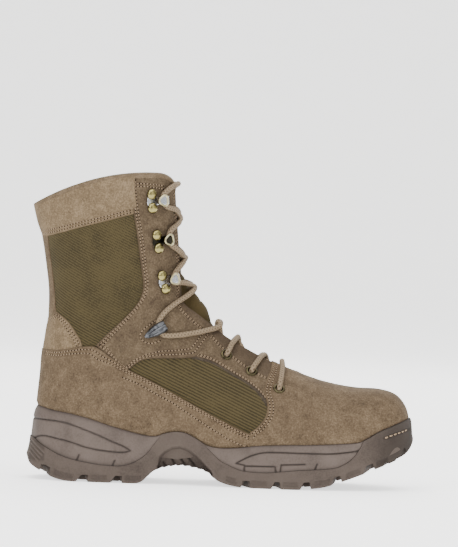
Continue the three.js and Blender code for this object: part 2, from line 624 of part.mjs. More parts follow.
function rivetSolid(hook, end, side) {
  const frame = hookFrame(hook, side);
  const foot = HOOK_FOOT + HOOK_STEEL + GAP;
  const profile = [
    [0, 0], [RIVET_RADIUS, 0], [RIVET_RADIUS * 0.93, 0.9], [RIVET_RADIUS * 0.6, 1.8], [0, RIVET_HEIGHT],
  ].map(([r, z]) => new THREE.Vector2(r, z + foot));
  const dome = new THREE.LatheGeometry([...profile, profile[0]], 8).rotateX(Math.PI / 2);
  const [a, b] = hook.rivets;
  const apart = Math.hypot(a[0] - b[0], a[1] - b[1]) / 2;
  const up = end === "upper" ? -side * apart : side * apart;
  return turned(facingOut(dome), frame.multiply(new THREE.Matrix4().makeTranslation(0, up, 0)));
}

// Steel leaf at the ankle that grips the lace: a bent strap with a tunnel along it.
function lockSolid(side) {
  const { at, towards, length, width } = LACE_LOCK;
  const frame = frameOnSide(at, towards, side);
  const { foot, inside, thick } = LOCK_STRAP;
  const arch = (from, to, half, high) => span(from, to, 9)
    .map((a) => [half * Math.cos(a), foot + high * Math.sin(a)]);
  const outer = arch(0, Math.PI, width / 2, inside + thick);
  const inner = arch(Math.PI, 0, width / 2 - thick, inside);
  const strap = sidePrism([...outer, ...inner], length / 2);
  return turned(strap, frame.multiply(new THREE.Matrix4().makeRotationZ(Math.PI / 2)));
}

// ---------------------------------------------------------------- lace
// A round cord through places above the upper's surface.
function cordSolid(places) {
  const points = places.map(([u, v, out]) => offUpper(u, v, out));
  const curve = new THREE.CatmullRomCurve3(points, false, "centripetal");
  const round = new THREE.Shape(span(0, 2 * Math.PI, 7).slice(0, -1)
    .map((a) => new THREE.Vector2(LACE_RADIUS * Math.cos(a), LACE_RADIUS * Math.sin(a))));
  const steps = Math.ceil(curve.getLength() / (5 * LACE_RADIUS));
  const tube = new THREE.ExtrudeGeometry(round, { steps, extrudePath: curve, bevelEnabled: false });
  return solidOf(tube);
}

function mirrored(places) {
  return places.map(([u, v, out]) => [u, 2 - v, out]);
}

// ---------------------------------------------------------------- assembly
const materials = {
  suede: { color: 0x8f7a66, roughness: 0.95, metalness: 0 },
  nylon: { color: 0x6d6040, roughness: 0.8, metalness: 0 },
  outsole: { color: 0x6f625a, roughness: 0.75, metalness: 0 },
  midsole: { color: 0x81766f, roughness: 0.7, metalness: 0 },
  insole: { color: 0x3a3833, roughness: 0.95, metalness: 0 },
  brass: { color: 0x8d8250, roughness: 0.3, metalness: 0.9 },
  steel: { color: 0x8a8f95, roughness: 0.35, metalness: 0.9 },
  lace: { color: 0xa4927c, roughness: 0.9, metalness: 0 },
};

const boot = new THREE.Group();

function add(name, solid, finish) {
  const mesh = new THREE.Mesh(geometryOf(solid), new THREE.MeshStandardMaterial(materials[finish]));
  mesh.name = name;
  boot.add(mesh);
}

const { outsole, midsole } = soleSolids();
add("outsole", outsole, "outsole");
add("midsole", midsole, "midsole");
add("insole", insoleSolid(), "insole");
add("upper", upperSolid(), "suede");
add("tongue", tongueSolid(), "nylon");
for (const [side, label] of [[-1, "lateral"], [1, "medial"]]) {
  EYELETS.forEach((place, i) => add(`eyelet_${i + 1}_${label}`, eyeletSolid(place, side), "brass"));
  add(`lace_lock_${label}`, lockSolid(side), "steel");
  HOOKS.forEach((hook, i) => {
    add(`hook_${i + 1}_${label}`, hookSolid(hook, side), "brass");
    for (const end of ["upper", "lower"]) {
      add(`rivet_${i + 1}_${end}_${label}`, rivetSolid(hook, end, side), "brass");
    }
  });
}
add("lace_bar", cordSolid([...LACE_BAR, ...mirrored(LACE_BAR).reverse().slice(1)]), "lace");
CROSSINGS.forEach((strand, i) => {
  add(`lace_cross_${i + 1}`, cordSolid(strand).add(cordSolid(mirrored(strand))), "lace");
});

boot.position.x = -BOOT_LENGTH / 2;

export default boot;
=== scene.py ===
"""A lace-up combat boot for the right foot, in suede and ribbed nylon on a lugged rubber sole.

Sizes are in millimetres in the boot's own measure: x = 0 at the back of the heel and forwards to
the toe, y = 0 on the centre line with the outer side at -y, z = 0 on the floor. Meshes are moved
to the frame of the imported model, in metres, when they are made.
"""
import logging
import math
from collections.abc import Callable, Mapping, Sequence
from dataclasses import dataclass, field, replace
from enum import Enum
from typing import NamedTuple

import bmesh
import bpy
import numpy as np
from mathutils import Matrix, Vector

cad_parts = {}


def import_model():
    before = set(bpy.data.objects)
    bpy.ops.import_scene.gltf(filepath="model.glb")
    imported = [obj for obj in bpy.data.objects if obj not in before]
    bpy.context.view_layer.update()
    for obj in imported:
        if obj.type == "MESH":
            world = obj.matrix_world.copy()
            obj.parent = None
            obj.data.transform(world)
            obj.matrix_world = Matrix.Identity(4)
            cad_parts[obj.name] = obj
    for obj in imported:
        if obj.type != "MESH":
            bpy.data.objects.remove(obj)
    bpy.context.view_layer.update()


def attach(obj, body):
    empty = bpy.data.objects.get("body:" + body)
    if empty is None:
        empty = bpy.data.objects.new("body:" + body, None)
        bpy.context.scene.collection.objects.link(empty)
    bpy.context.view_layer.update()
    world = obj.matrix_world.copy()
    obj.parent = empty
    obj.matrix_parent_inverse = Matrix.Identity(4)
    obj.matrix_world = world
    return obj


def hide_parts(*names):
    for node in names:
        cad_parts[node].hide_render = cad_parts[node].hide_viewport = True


LOG = logging.getLogger("combat_boot")
Array = np.ndarray
Material = bpy.types.Material
Piece = bpy.types.Object
Tree = bpy.types.NodeTree
Socket = bpy.types.NodeSocket
Settings = dict[str | int, object]
Places = Sequence[Sequence[float]]
Row = tuple[Array, Array]  # a line's points and normals

BOOT_LENGTH = 304.0  # mm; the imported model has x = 0 at its middle


class Side(Enum):
    """The two sides of a right boot, with the sign of y."""

    LATERAL = -1
    MEDIAL = 1

    @property
    def label(self) -> str:
        """The side as it stands in the names of pieces."""
        return self.name.lower()

    def turn(self, lateral: Array) -> Array:
        """The turns on this side that match lateral ones."""
        return lateral if self is Side.LATERAL else 2 - lateral


# ---------------------------------------------------------------- curves
class TableCurve:
    """Smooth curve through a short table: cubic between rows, straight past its ends."""

    def __init__(self, keys: Sequence[float], values: Sequence[float]) -> None:
        """Keeps the rows and the slope at each, taken from the row before to the row after.

        Args:
            keys: rising places.
            values: the value at each.
        """
        self.keys = np.asarray(keys, float)
        self.values = np.asarray(values, float)
        rows = np.arange(len(self.keys))
        before = np.maximum(rows - 1, 0)
        after = np.minimum(rows + 1, len(rows) - 1)
        rise = self.values[after] - self.values[before]
        self.slopes = rise / (self.keys[after] - self.keys[before])

    def __call__(self, at: Array) -> Array:
        """Evaluates the curve.

        Args:
            at: places along the key column, any shape.

        Returns:
            The values there.
        """
        at = np.asarray(at, float)
        i = np.clip(np.searchsorted(self.keys, at, side="right") - 1, 0, len(self.keys) - 2)
        width = self.keys[i + 1] - self.keys[i]
        s = (at - self.keys[i]) / width
        p, q = self.values[i], self.values[i + 1]
        mp, mq = self.slopes[i] * width, self.slopes[i + 1] * width
        c = np.clip(s, 0, 1)
        inside = (p * (1 + 2 * c) * (1 - c) ** 2 + mp * c * (1 - c) ** 2
                  + q * (3 - 2 * c) * c**2 - mq * c**2 * (1 - c))
        return inside + np.minimum(s, 0) * mp + np.maximum(s - 1, 0) * mq


def run_length(line: Array) -> Array:
    """Length along a polyline up to each of its points."""
    return np.concatenate([[0], np.cumsum(np.linalg.norm(np.diff(line, axis=0), axis=1))])


def smooth_line(points: Places, count: int = 90) -> Array:
    """Smooth curve through points in a plane or in space, evenly spaced along its length.

    Args:
        points: the points that it goes through.
        count: how many points to return.

    Returns:
        Array of count rows.
    """
    rows = np.asarray(points, float)
    if len(rows) > 2:
        run = run_length(rows)
        fine = np.linspace(0, run[-1], 8 * count)
        rows = np.stack([TableCurve(run, column)(fine) for column in rows.T], axis=-1)
    return even_steps(rows, count)


def even_steps(line: Array, count: int, axes: int | None = None) -> Array:
    """Points evenly spaced along a polyline.

    Args:
        line: the polyline's points.
        count: how many points to return.
        axes: how many of the columns make up its length; all of them if not given.

    Returns:
        Array of count rows.
    """
    run = run_length(line[:, :axes])
    want = np.linspace(0, run[-1], count)
    return np.stack([np.interp(want, run, column) for column in line.T], axis=-1)


def line_distance(points: Array, line: Array) -> Array:
    """Distance from points of a plane to a polyline, as the least over its segments.

    Args:
        points: array (..., 2).
        line: array (n, 2).

    Returns:
        Array (...) of distances.
    """
    a, b = line[:-1], line[1:]
    ab = b - a
    ap = points[..., None, :] - a
    along = np.clip((ap * ab).sum(-1) / np.maximum((ab**2).sum(-1), 1e-9), 0, 1)
    return np.linalg.norm(ap - along[..., None] * ab, axis=-1).min(-1)


def soft_step(x: Array) -> Array:
    """Rises smoothly from 0 at x = 0 to 1 at x = 1."""
    c = np.clip(x, 0, 1)
    return c * c * (3 - 2 * c)


def unit(vectors: Array) -> Array:
    """Scales vectors to length 1."""
    return vectors / np.maximum(np.linalg.norm(vectors, axis=-1, keepdims=True), 1e-12)


# ---------------------------------------------------------------- the last's form
# A row for each section of the fan that joins the front line (toe, vamp, instep, shin) to the
# back line (under the foot, then up the heel). The columns are those of the CAD source.
SECTION_ROWS = (
    (296.5, 35, 296.5, 35, 0, 0, 0, 0, 0.4, 2.3, 0),  # toe tip
    (299.4, 46, 294.5, 34.4, 13.5, 15, 12, 13.5, 0.42, 2.2, 0),
    (298.6, 57, 289.5, 33.2, 22.5, 24.5, 20, 22, 0.42, 2.2, 0),
    (295, 66.5, 283, 31.4, 29.5, 32.5, 26.5, 29, 0.4, 2.2, 0),
    (287.5, 73.8, 275.5, 29.4, 35, 39, 31.8, 35.5, 0.37, 2.25, 0),
    (275, 77.1, 264.5, 27, 40, 44.2, 36.2, 39.8, 0.35, 2.3, 0),  # toe box
    (257, 77.7, 251, 24.4, 45, 48.5, 40.5, 43.5, 0.33, 2.25, 0),
    (238, 80.5, 233, 22, 48.5, 50.5, 44, 45.5, 0.31, 2.1, 0),
    (221, 85, 214, 20.5, 50, 49.5, 45.5, 44.5, 0.3, 1.9, 0),  # ball
    (206, 91.5, 194, 20, 49.5, 46.5, 44.5, 41, 0.3, 1.72, 0),
    (190, 101, 171, 20.5, 47, 42.5, 41.5, 35, 0.3, 1.6, 0),
    (174.5, 110.8, 147, 22.2, 44.5, 38.5, 38.5, 29.5, 0.31, 1.55, 0),  # instep
    (159, 120.6, 123, 24.7, 42.5, 36.5, 37, 28.5, 0.33, 1.55, 0),
    (146, 130.8, 99, 27.5, 41, 37.5, 36, 31.5, 0.35, 1.6, 0),
    (136.5, 140.3, 73, 29.6, 40.5, 39.3, 36.5, 35, 0.37, 1.68, 0),
    (130.5, 147.6, 48, 30.4, 40.2, 39.8, 36.5, 36, 0.39, 1.75, 0),
    (127, 153.2, 29, 30.7, 40, 39.6, 32.5, 32.2, 0.4, 1.8, 0),
    (124.6, 158, 17.5, 30.9, 39.6, 39.3, 23.5, 23.3, 0.42, 1.85, 0),
    (122.9, 162.5, 11.8, 32.5, 39.3, 39, 11, 11, 0.44, 1.9, 0),  # heel
    (121.4, 167.4, 9, 41, 39, 38.8, 0, 0, 0.46, 1.95, 0),
    (120, 173, 9.2, 60, 38.7, 38.5, 0, 0, 0.48, 2, 0),
    (118.8, 179, 10.9, 82, 38.5, 38.5, 0, 0, 0.5, 2, 0.5),
    (117.6, 186, 11.8, 103, 38.7, 38.7, 0, 0, 0.51, 2.02, 1.5),
    (116.2, 194, 14.6, 125, 39.3, 39.3, 0, 0, 0.52, 2.05, 3),  # ankle
    (114.9, 203, 14.6, 147, 40.2, 40.2, 0, 0, 0.52, 2.08, 4.5),
    (113.6, 213, 11.8, 168, 41.3, 41.3, 0, 0, 0.52, 2.1, 6),
    (112.4, 225, 8, 189, 42.3, 42.3, 0, 0, 0.52, 2.12, 7.5),
    (111, 241, 1.5, 215.2, 43.2, 43.2, 0, 0, 0.52, 2.15, 9),  # collar
)
SECTION_COLUMNS = ("front_x", "front_z", "back_x", "back_z", "wide_lat", "wide_med",
                   "foot_lat", "foot_med", "widest", "round", "bow")
HEEL_CLOSED = 19  # first section with both sides meeting at the back
COLLAR = len(SECTION_ROWS) - 1.0
THROAT_TOE = 8.75  # section where the throat begins
BOW_LEAN = 0.24  # how far back the bow of a section leans, for each mm of its rise

# Soft creases: side place, direction in degrees from +x, length, width and depth in mm.
CREASE_ROWS = (
    (118, 146, 150, 46, 7, 0.7), (108, 158, 158, 40, 7, 0.5), (96, 136, 20, 40, 9, 0.5),
    (212, 70, 78, 34, 8, 0.45), (226, 66, 82, 30, 8, 0.4), (271, 60, 60, 22, 7, 0.35),
    (30, 110, 5, 34, 9, 0.5), (34, 122, -12, 36, 9, 0.5), (62, 168, 12, 50, 12, 0.45),
    (58, 140, -6, 44, 12, 0.4),
)


class BootForm:
    """The upper's outer surface, and everything measured on it.

    A place is given as (u, v): u is the section's number, and v runs from 0 at the lateral foot of
    the section over the front line at 1 to the medial foot at 2.
    """

    def __init__(self) -> None:
        """Makes one smooth curve for each column of the table."""
        rows = np.arange(len(SECTION_ROWS))
        columns = np.asarray(SECTION_ROWS, float).T
        self.section = {n: TableCurve(rows, c) for n, c in zip(SECTION_COLUMNS, columns)}
        self.throat_half = TableCurve([8.75, 9.1, 10, 12, 13, 14, 15.3, 16.6, 18, 22, 27, 28.5],
                                      [4, 8, 10.5, 12, 12.6, 15, 17.6, 16.4, 14, 13.2, 13, 13])

    def widths(self, u: Array, lateral: Array) -> tuple[Array, Array]:
        """Half-widths of sections where they are widest and at their lower end.

        Args:
            u: section numbers.
            lateral: whether each place is on the lateral side.

        Returns:
            Both half-widths in mm.
        """
        s = self.section
        wide = np.where(lateral, s["wide_lat"](u), s["wide_med"](u))
        foot = np.where(lateral, s["foot_lat"](u), s["foot_med"](u))
        return np.maximum(wide, 0), np.where(u >= HEEL_CLOSED, 0, np.maximum(foot, 0))

    def point(self, u: Array, v: Array) -> Array:
        """A point of the outer surface.

        Across the boot a section is an arc: below its widest place an ellipse that starts at the
        foot's half-width, above it a curve whose power narrows or fills out the front.

        Args:
            u: section numbers.
            v: turns round the section, 0 to 2.

        Returns:
            Array (..., 3) in mm.
        """
        u, v = np.broadcast_arrays(np.asarray(u, float), np.asarray(v, float))
        s = self.section
        lateral = v <= 1
        rise = np.where(lateral, v, 2 - v)
        wide, foot = self.widths(u, lateral)
        power = 2 / s["round"](u)
        widest = s["widest"](u)
        low = np.arcsin(np.minimum(0.98, foot / np.maximum(wide, 1e-9)))
        low = np.where(wide > 0, low, 0)
        angle = low + (np.pi - low) * rise
        below = angle < np.pi / 2
        cosine = np.abs(np.cos(angle))
        sine = np.abs(np.sin(angle))
        along = np.where(below, widest * (1 - cosine / np.cos(low)),
                         widest + (1 - widest) * cosine**power)
        across = wide * np.where(below, sine, sine**power)
        lift = s["bow"](u) * 4 * along * (1 - along)
        x = s["back_x"](u) + along * (s["front_x"](u) - s["back_x"](u)) - lift * BOW_LEAN
        z = s["back_z"](u) + along * (s["front_z"](u) - s["back_z"](u)) + lift
        return np.stack([x, np.where(lateral, -across, across), z], axis=-1)

    def normal(self, u: Array, v: Array) -> Array:
        """Outward unit normals, from the differences of near points.

        Args:
            u: section numbers.
            v: turns.

        Returns:
            Array (..., 3).
        """
        u, v = np.broadcast_arrays(np.asarray(u, float), np.asarray(v, float))
        at = np.maximum(u, 0.06)  # at the toe tip itself a section is a point
        step = 0.02
        closed = at >= HEEL_CLOSED
        before = np.where(v - step < 0, np.where(closed, 2 + v - step, 0), v - step)
        after = np.where(v + step > 2, np.where(closed, v + step - 2, 2), v + step)
        across = self.point(at, after) - self.point(at, before)
        along = self.point(at + step, v) - self.point(at - step, v)
        return unit(np.cross(across, along))

    def crease(self, points: Array) -> Array:
        """Depth of the soft creases at points of the surface, as a sum of smooth troughs.

        Each is a Gaussian across its line, fading to its ends, with a lower ridge beside it.

        Args:
            points: array (..., 3) in mm.

        Returns:
            Depths in mm, (...).
        """
        depth = np.zeros(points.shape[:-1])
        for x, z, degrees, length, width, deep in CREASE_ROWS:
            turn = math.radians(degrees)
            dx, dz = points[..., 0] - x, points[..., 2] - z
            along = dx * math.cos(turn) + dz * math.sin(turn)
            across = dz * math.cos(turn) - dx * math.sin(turn)
            fade = np.exp(-((along / (0.5 * length)) ** 4))
            trough = np.exp(-((across / (0.5 * width)) ** 2))
            ridge = np.exp(-(((across - 0.9 * width) / (0.6 * width)) ** 2))
            depth += deep * fade * (trough - 0.5 * ridge)
        return depth

    def offset(self, u: Array, v: Array, out: Array | float, creased: bool = True) -> Array:
        """Points above or below the surface.

        Args:
            u: section numbers.
            v: turns.
            out: distance outwards in mm.
            creased: whether the soft creases are pressed in.

        Returns:
            Array (..., 3) in mm.
        """
        base = self.point(u, v)
        rise = np.asarray(out, float) - (self.crease(base) if creased else 0)
        return base + self.normal(u, v) * rise[..., None]

    def locate(self, xz: Array) -> tuple[Array, Array]:
        """Section and lateral turn at places seen from the side.

        A section is a straight line from back to front plus its bow, so the section through a
        place is found by halving, with the bow taken off again each time.

        Args:
            xz: array (..., 2) of x and z.

        Returns:
            u and v, each of shape (...).
        """
        s = self.section
        xz = np.asarray(xz, float)
        lift = np.zeros(xz.shape[:-1])
        for _ in range(5):
            x, z = xz[..., 0] + BOW_LEAN * lift, xz[..., 1] - lift
            low = np.full(x.shape, 0.02)
            high = np.full(x.shape, COLLAR + 1.4)
            for _ in range(36):
                u = (low + high) / 2
                bx, bz = s["back_x"](u), s["back_z"](u)
                dx, dz = s["front_x"](u) - bx, s["front_z"](u) - bz
                ahead = dx * (z - bz) - dz * (x - bx) > 0
                low, high = np.where(ahead, u, low), np.where(ahead, high, u)
            share = np.clip(((x - bx) * dx + (z - bz) * dz) / (dx**2 + dz**2), 0, 1)
            lift = s["bow"](u) * 4 * share * (1 - share)
        wide, foot = self.widths(u, np.full(u.shape, True))
        low_turn = np.arcsin(np.minimum(0.98, foot / np.maximum(wide, 1e-9)))
        widest = s["widest"](u)
        lower = np.arccos(np.clip((1 - share / widest) * np.cos(low_turn), -1, 1))
        upper_share = np.clip((share - widest) / (1 - widest), 0, 1)
        upper = np.pi - np.arccos(upper_share ** (s["round"](u) / 2))
        angle = np.where(share < widest, lower, upper)
        return u, np.clip((angle - low_turn) / (np.pi - low_turn), 0, 1)

    def turn_at(self, u: Array, half: Array) -> Array:
        """Lateral turn, above the widest place, at which a section has a given half-width.

        Args:
            u: section numbers, (n,).
            half: half-widths in mm.

        Returns:
            Turns, (n,).
        """
        turns = np.linspace(0.55, 1, 240)
        spread = np.abs(self.point(np.asarray(u, float)[:, None], turns[None, :])[..., 1])
        half = np.broadcast_to(half, spread.shape[:1])
        return np.array([np.interp(-h, -row, turns) for h, row in zip(half, spread)])

    def throat_turn(self, u: Array, inset: float = 0.0) -> Array:
        """Lateral turn of the throat's edge, moved away from the opening by an inset in mm."""
        return self.turn_at(u, self.throat_half(u) + inset)


FORM = BootForm()


# ---------------------------------------------------------------- meshes
WELD_DISTANCE = 2e-6  # metres within which points are merged


def grid_quads(rows: int, columns: int, closed: bool = False) -> Array:
    """Faces of a grid of points, numbered row by row.

    Args:
        rows: points down the grid.
        columns: points along a row.
        closed: whether each row joins up with its own start.

    Returns:
        Array (faces, 4) of point numbers.
    """
    index = np.arange(rows * columns).reshape(rows, columns)
    if closed:
        index = np.concatenate([index, index[:, :1]], axis=1)
    corners = (index[:-1, :-1], index[:-1, 1:], index[1:, 1:], index[1:, :-1])
    return np.stack(corners, axis=-1).reshape(-1, 4)


@dataclass
class Shape:
    """Points, four-cornered faces and the values that ride on the points."""

    points: Array
    quads: Array
    uv: Array | None = None
    tone: Array | None = None

    def facing(self, side: Side) -> "Shape":
        """The shape with its faces turned over where the side mirrors them."""
        return self if side is Side.LATERAL else replace(self, quads=self.quads[:, ::-1])


def sheet_shape(points: Array, closed: bool = False, uv: Array | None = None,
                tone: Array | None = None) -> Shape:
    """Shape of a grid of points (rows, columns, 3).

    Args:
        points: grid of points in mm.
        closed: whether each row joins its own start.
        uv: map places, (rows, columns, 2).
        tone: values, (rows, columns).

    Returns:
        The shape.
    """
    rows, columns = points.shape[:2]
    flat = None if uv is None else uv.reshape(-1, 2)
    shade = None if tone is None else tone.reshape(-1)
    return Shape(points.reshape(-1, 3), grid_quads(rows, columns, closed), flat, shade)


def joined_shapes(shapes: Sequence[Shape]) -> Shape:
    """Several shapes as one, with the faces' numbers moved up past the points before them.

    Args:
        shapes: the shapes, in order.

    Returns:
        The whole.
    """
    starts = np.cumsum([0] + [len(shape.points) for shape in shapes[:-1]])

    def together(values: Sequence[Array | None]) -> Array | None:
        """The values of every shape in order, or nothing if one has none."""
        return None if any(value is None for value in values) else np.concatenate(values)
    return Shape(together([shape.points for shape in shapes]),
                 together([shape.quads + start for shape, start in zip(shapes, starts)]),
                 together([shape.uv for shape in shapes]), together([shape.tone for shape in shapes]))


def weld_and_face_out(mesh: bpy.types.Mesh) -> None:
    """Merges a mesh's points that lie at one place and turns its faces outwards.

    Args:
        mesh: the mesh, changed in place.
    """
    work = bmesh.new()
    work.from_mesh(mesh)
    bmesh.ops.remove_doubles(work, verts=work.verts, dist=WELD_DISTANCE)
    bmesh.ops.dissolve_degenerate(work, edges=work.edges, dist=WELD_DISTANCE / 2)
    bmesh.ops.recalc_face_normals(work, faces=work.faces)
    work.to_mesh(mesh)
    work.free()


def make_piece(name: str, shape: Shape, finish: Material, node: str | Sequence[str] = (),
               slot: str = "", sharp_degrees: float = 40) -> Piece:
    """Makes an object of a shape, welded, facing outwards and smooth, and puts it in the model.

    Args:
        name: the piece's name.
        shape: its points in mm and its faces.
        finish: its material.
        node: CAD node or nodes that it stands for.
        slot: name of a material slot; not used.
        sharp_degrees: edges bent by more than this stay crisp.

    Returns:
        The object.
    """
    mesh = bpy.data.meshes.new(name)
    metres = (shape.points - (BOOT_LENGTH / 2, 0, 0)) / 1000
    mesh.vertices.add(len(metres))
    mesh.vertices.foreach_set("co", metres.ravel().astype(np.float32))
    mesh.loops.add(shape.quads.size)
    mesh.loops.foreach_set("vertex_index", shape.quads.ravel().astype(np.int32))
    mesh.polygons.add(len(shape.quads))
    mesh.polygons.foreach_set("loop_start", np.arange(0, shape.quads.size, 4, dtype=np.int32))
    if shape.uv is not None:
        layer = mesh.uv_layers.new(name="UVMap")
        layer.data.foreach_set("uv", shape.uv[shape.quads.ravel()].ravel().astype(np.float32))
    if shape.tone is not None:
        tone = mesh.attributes.new("tone", "FLOAT", "POINT")
        tone.data.foreach_set("value", shape.tone.astype(np.float32))
    mesh.update(calc_edges=True)
    weld_and_face_out(mesh)
    mesh.shade_smooth()
    mesh.set_sharp_from_angle(angle=math.radians(sharp_degrees))
    mesh.materials.append(finish)
    piece = bpy.data.objects.new(name, mesh)
    bpy.context.collection.objects.link(piece)
    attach(piece, "root")
    nodes = [node] if isinstance(node, str) else list(node)
    if nodes:
        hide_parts(*nodes)
    return piece


# ---------------------------------------------------------------- finishes
def linear(code: str) -> tuple[float, float, float, float]:
    """Linear colour of an sRGB hex value such as '#8F7A66'.

    Args:
        code: the hex value.

    Returns:
        Red, green, blue and alpha.
    """
    channels = [int(code[i:i + 2], 16) / 255 for i in (1, 3, 5)]
    red, green, blue = [c / 12.92 if c <= 0.04045 else ((c + 0.055) / 1.055) ** 2.4 for c in channels]
    return red, green, blue, 1.0


def per_metre(size_mm: float) -> float:
    """Scale of a texture whose pattern repeats every size_mm."""
    return 1000 / size_mm


def add_node(tree: Tree, kind: str, inputs: Settings | None = None,
             ramp: Sequence[tuple[float, str]] = (), **settings: object) -> bpy.types.Node:
    """Adds a shader node with its settings, values and links.

    Args:
        tree: the material's node tree.
        kind: the node's type, without the leading ShaderNode.
        inputs: socket name or number to a value, or to the output socket that feeds it.
        ramp: for a colour ramp, its stops as place and hex colour.
        **settings: the node's own properties.

    Returns:
        The node.
    """
    node = tree.nodes.new("ShaderNode" + kind)
    for key, value in settings.items():
        setattr(node, key, value)
    for key, value in (inputs or {}).items():
        if isinstance(value, bpy.types.NodeSocket):
            tree.links.new(value, node.inputs[key])
        else:
            node.inputs[key].default_value = value
    if ramp:
        stops = node.color_ramp.elements
        while len(stops) < len(ramp):
            stops.new(1)
        for stop, (place, code) in zip(stops, ramp):
            stop.position = place
            stop.color = linear(code)
    return node


def new_material(name: str) -> tuple[Material, Tree, bpy.types.Node]:
    """An empty node material, its tree and its output.

    Args:
        name: its name.

    Returns:
        The material, its tree and its output node.
    """
    material = bpy.data.materials.new(name)
    material.use_nodes = True
    tree = material.node_tree
    tree.nodes.clear()
    return material, tree, add_node(tree, "OutputMaterial")


class Pattern(NamedTuple):
    """What a finish's nodes give to its surface."""

    colour: Socket
    height: Socket
    strength: float  # of the bump
    depth: float  # of the bump, in metres
    skin: Settings  # the surface's other settings


@dataclass(frozen=True)
class Finish:
    """A finish: its shades from dark to light, on a surface with a fine relief."""

    name: str
    shades: tuple[str, ...]

    def ramp(self, *places: float) -> tuple[tuple[float, str], ...]:
        """The shades at places along a colour ramp."""
        return tuple(zip(places, self.shades))

    def pattern(self, tree: Tree, coords: Mapping[str, Socket]) -> Pattern:
        """Adds the nodes that work out the colour and the relief.

        Args:
            tree: the material's node tree.
            coords: the coordinates to use, by name.

        Returns:
            The sockets and settings for the surface.
        """
        raise NotImplementedError

    def build(self) -> Material:
        """Makes the material: the pattern's colour and bump on one principled surface.

        Returns:
            The material.
        """
        material, tree, output = new_material(self.name)
        made = self.pattern(tree, add_node(tree, "TexCoord").outputs)
        bump = add_node(tree, "Bump", {"Height": made.height, "Strength": made.strength,
                                       "Distance": made.depth})
        surface = add_node(tree, "BsdfPrincipled", {
            "Base Color": made.colour, "Normal": bump.outputs[0], **made.skin})
        tree.links.new(surface.outputs[0], output.inputs[0])
        return material


@dataclass(frozen=True)
class Suede(Finish):
    """Split cowhide, brushed to a nap: dull, soft, mottled where the nap lies two ways."""

    nap_mm: float = 1.3  # real nap is near 0.2 mm: drawn coarser so that it shows
    mottle_mm: float = 12.0  # patches where a hand has brushed the nap another way
    edge_shade: float = 0.8  # how much of the darkest shade cut edges and stitch lines take on: painted shade

    def pattern(self, tree: Tree, coords: Mapping[str, Socket]) -> Pattern:
        """Two noises set the shade, and the points' tone darkens cut edges and stitch lines with painted
        shade.
        """
        place = coords["Object"]
        mottle = add_node(tree, "TexNoise", {"Vector": place, "Scale": per_metre(self.mottle_mm),
                                             "Detail": 3.0, "Roughness": 0.6, "Distortion": 0.6})
        nap = add_node(tree, "TexNoise", {"Vector": place, "Scale": per_metre(self.nap_mm),
                                          "Detail": 2.0, "Roughness": 0.75})
        both = add_node(tree, "Mix", {"Factor": 0.6, 2: mottle.outputs[0], 3: nap.outputs[0]},
                        data_type="FLOAT")
        colour = add_node(tree, "ValToRGB", {0: both.outputs[0]}, ramp=self.ramp(0.34, 0.5, 0.66))
        # The tone attribute carries painted shade along cut edges and in the stitch dents.
        edge = add_node(tree, "Attribute", attribute_name="tone").outputs["Fac"]
        shade = add_node(tree, "Math", {0: edge, 1: self.edge_shade}, operation="MULTIPLY")
        shaded_colour = add_node(tree, "Mix", {"Factor": shade.outputs[0], 6: colour.outputs[0],
                                      7: linear(self.shades[0])}, data_type="RGBA")
        return Pattern(shaded_colour.outputs[2], nap.outputs[0], 0.5, 0.0005, {
            "Roughness": 0.95, "Specular IOR Level": 0.15, "Sheen Weight": 0.08,
            "Sheen Roughness": 0.6, "Sheen Tint": linear(self.shades[2])})


@dataclass(frozen=True)
class RibbedNylon(Finish):
    """Woven nylon with raised cords: the crests are painted light and the valleys dark, as painted
    highlight and painted shade.
    """

    thread_mm: float = 0.9  # real threads are near 0.4 mm: drawn coarser so that they show
    fade_mm: float = 16.0  # broad patches where the dye has faded

    def pattern(self, tree: Tree, coords: Mapping[str, Socket]) -> Pattern:
        """The points' tone, how far up a cord they are, sets the shade as painted highlight on crests and
        painted shade in valleys; threads fleck it.
        """
        place = coords["Object"]
        height = add_node(tree, "Attribute", attribute_name="tone").outputs["Fac"]
        thread = add_node(tree, "TexNoise", {"Vector": place, "Scale": per_metre(self.thread_mm),
                                             "Detail": 1.0, "Roughness": 0.6})
        cloud = add_node(tree, "TexNoise", {"Vector": place, "Scale": per_metre(self.fade_mm),
                                            "Detail": 2.0})
        fleck = add_node(tree, "Math", {0: thread.outputs[0], 1: 0.5, 2: height},
                         operation="MULTIPLY_ADD")
        level = add_node(tree, "Math", {0: cloud.outputs[0], 1: 0.35, 2: fleck.outputs[0]},
                         operation="MULTIPLY_ADD")
        colour = add_node(tree, "ValToRGB", {0: level.outputs[0]}, ramp=self.ramp(0.4, 0.85, 1.0))
        return Pattern(colour.outputs[0], thread.outputs[0], 0.5, 0.0004,
                       {"Roughness": 0.8, "Specular IOR Level": 0.2})


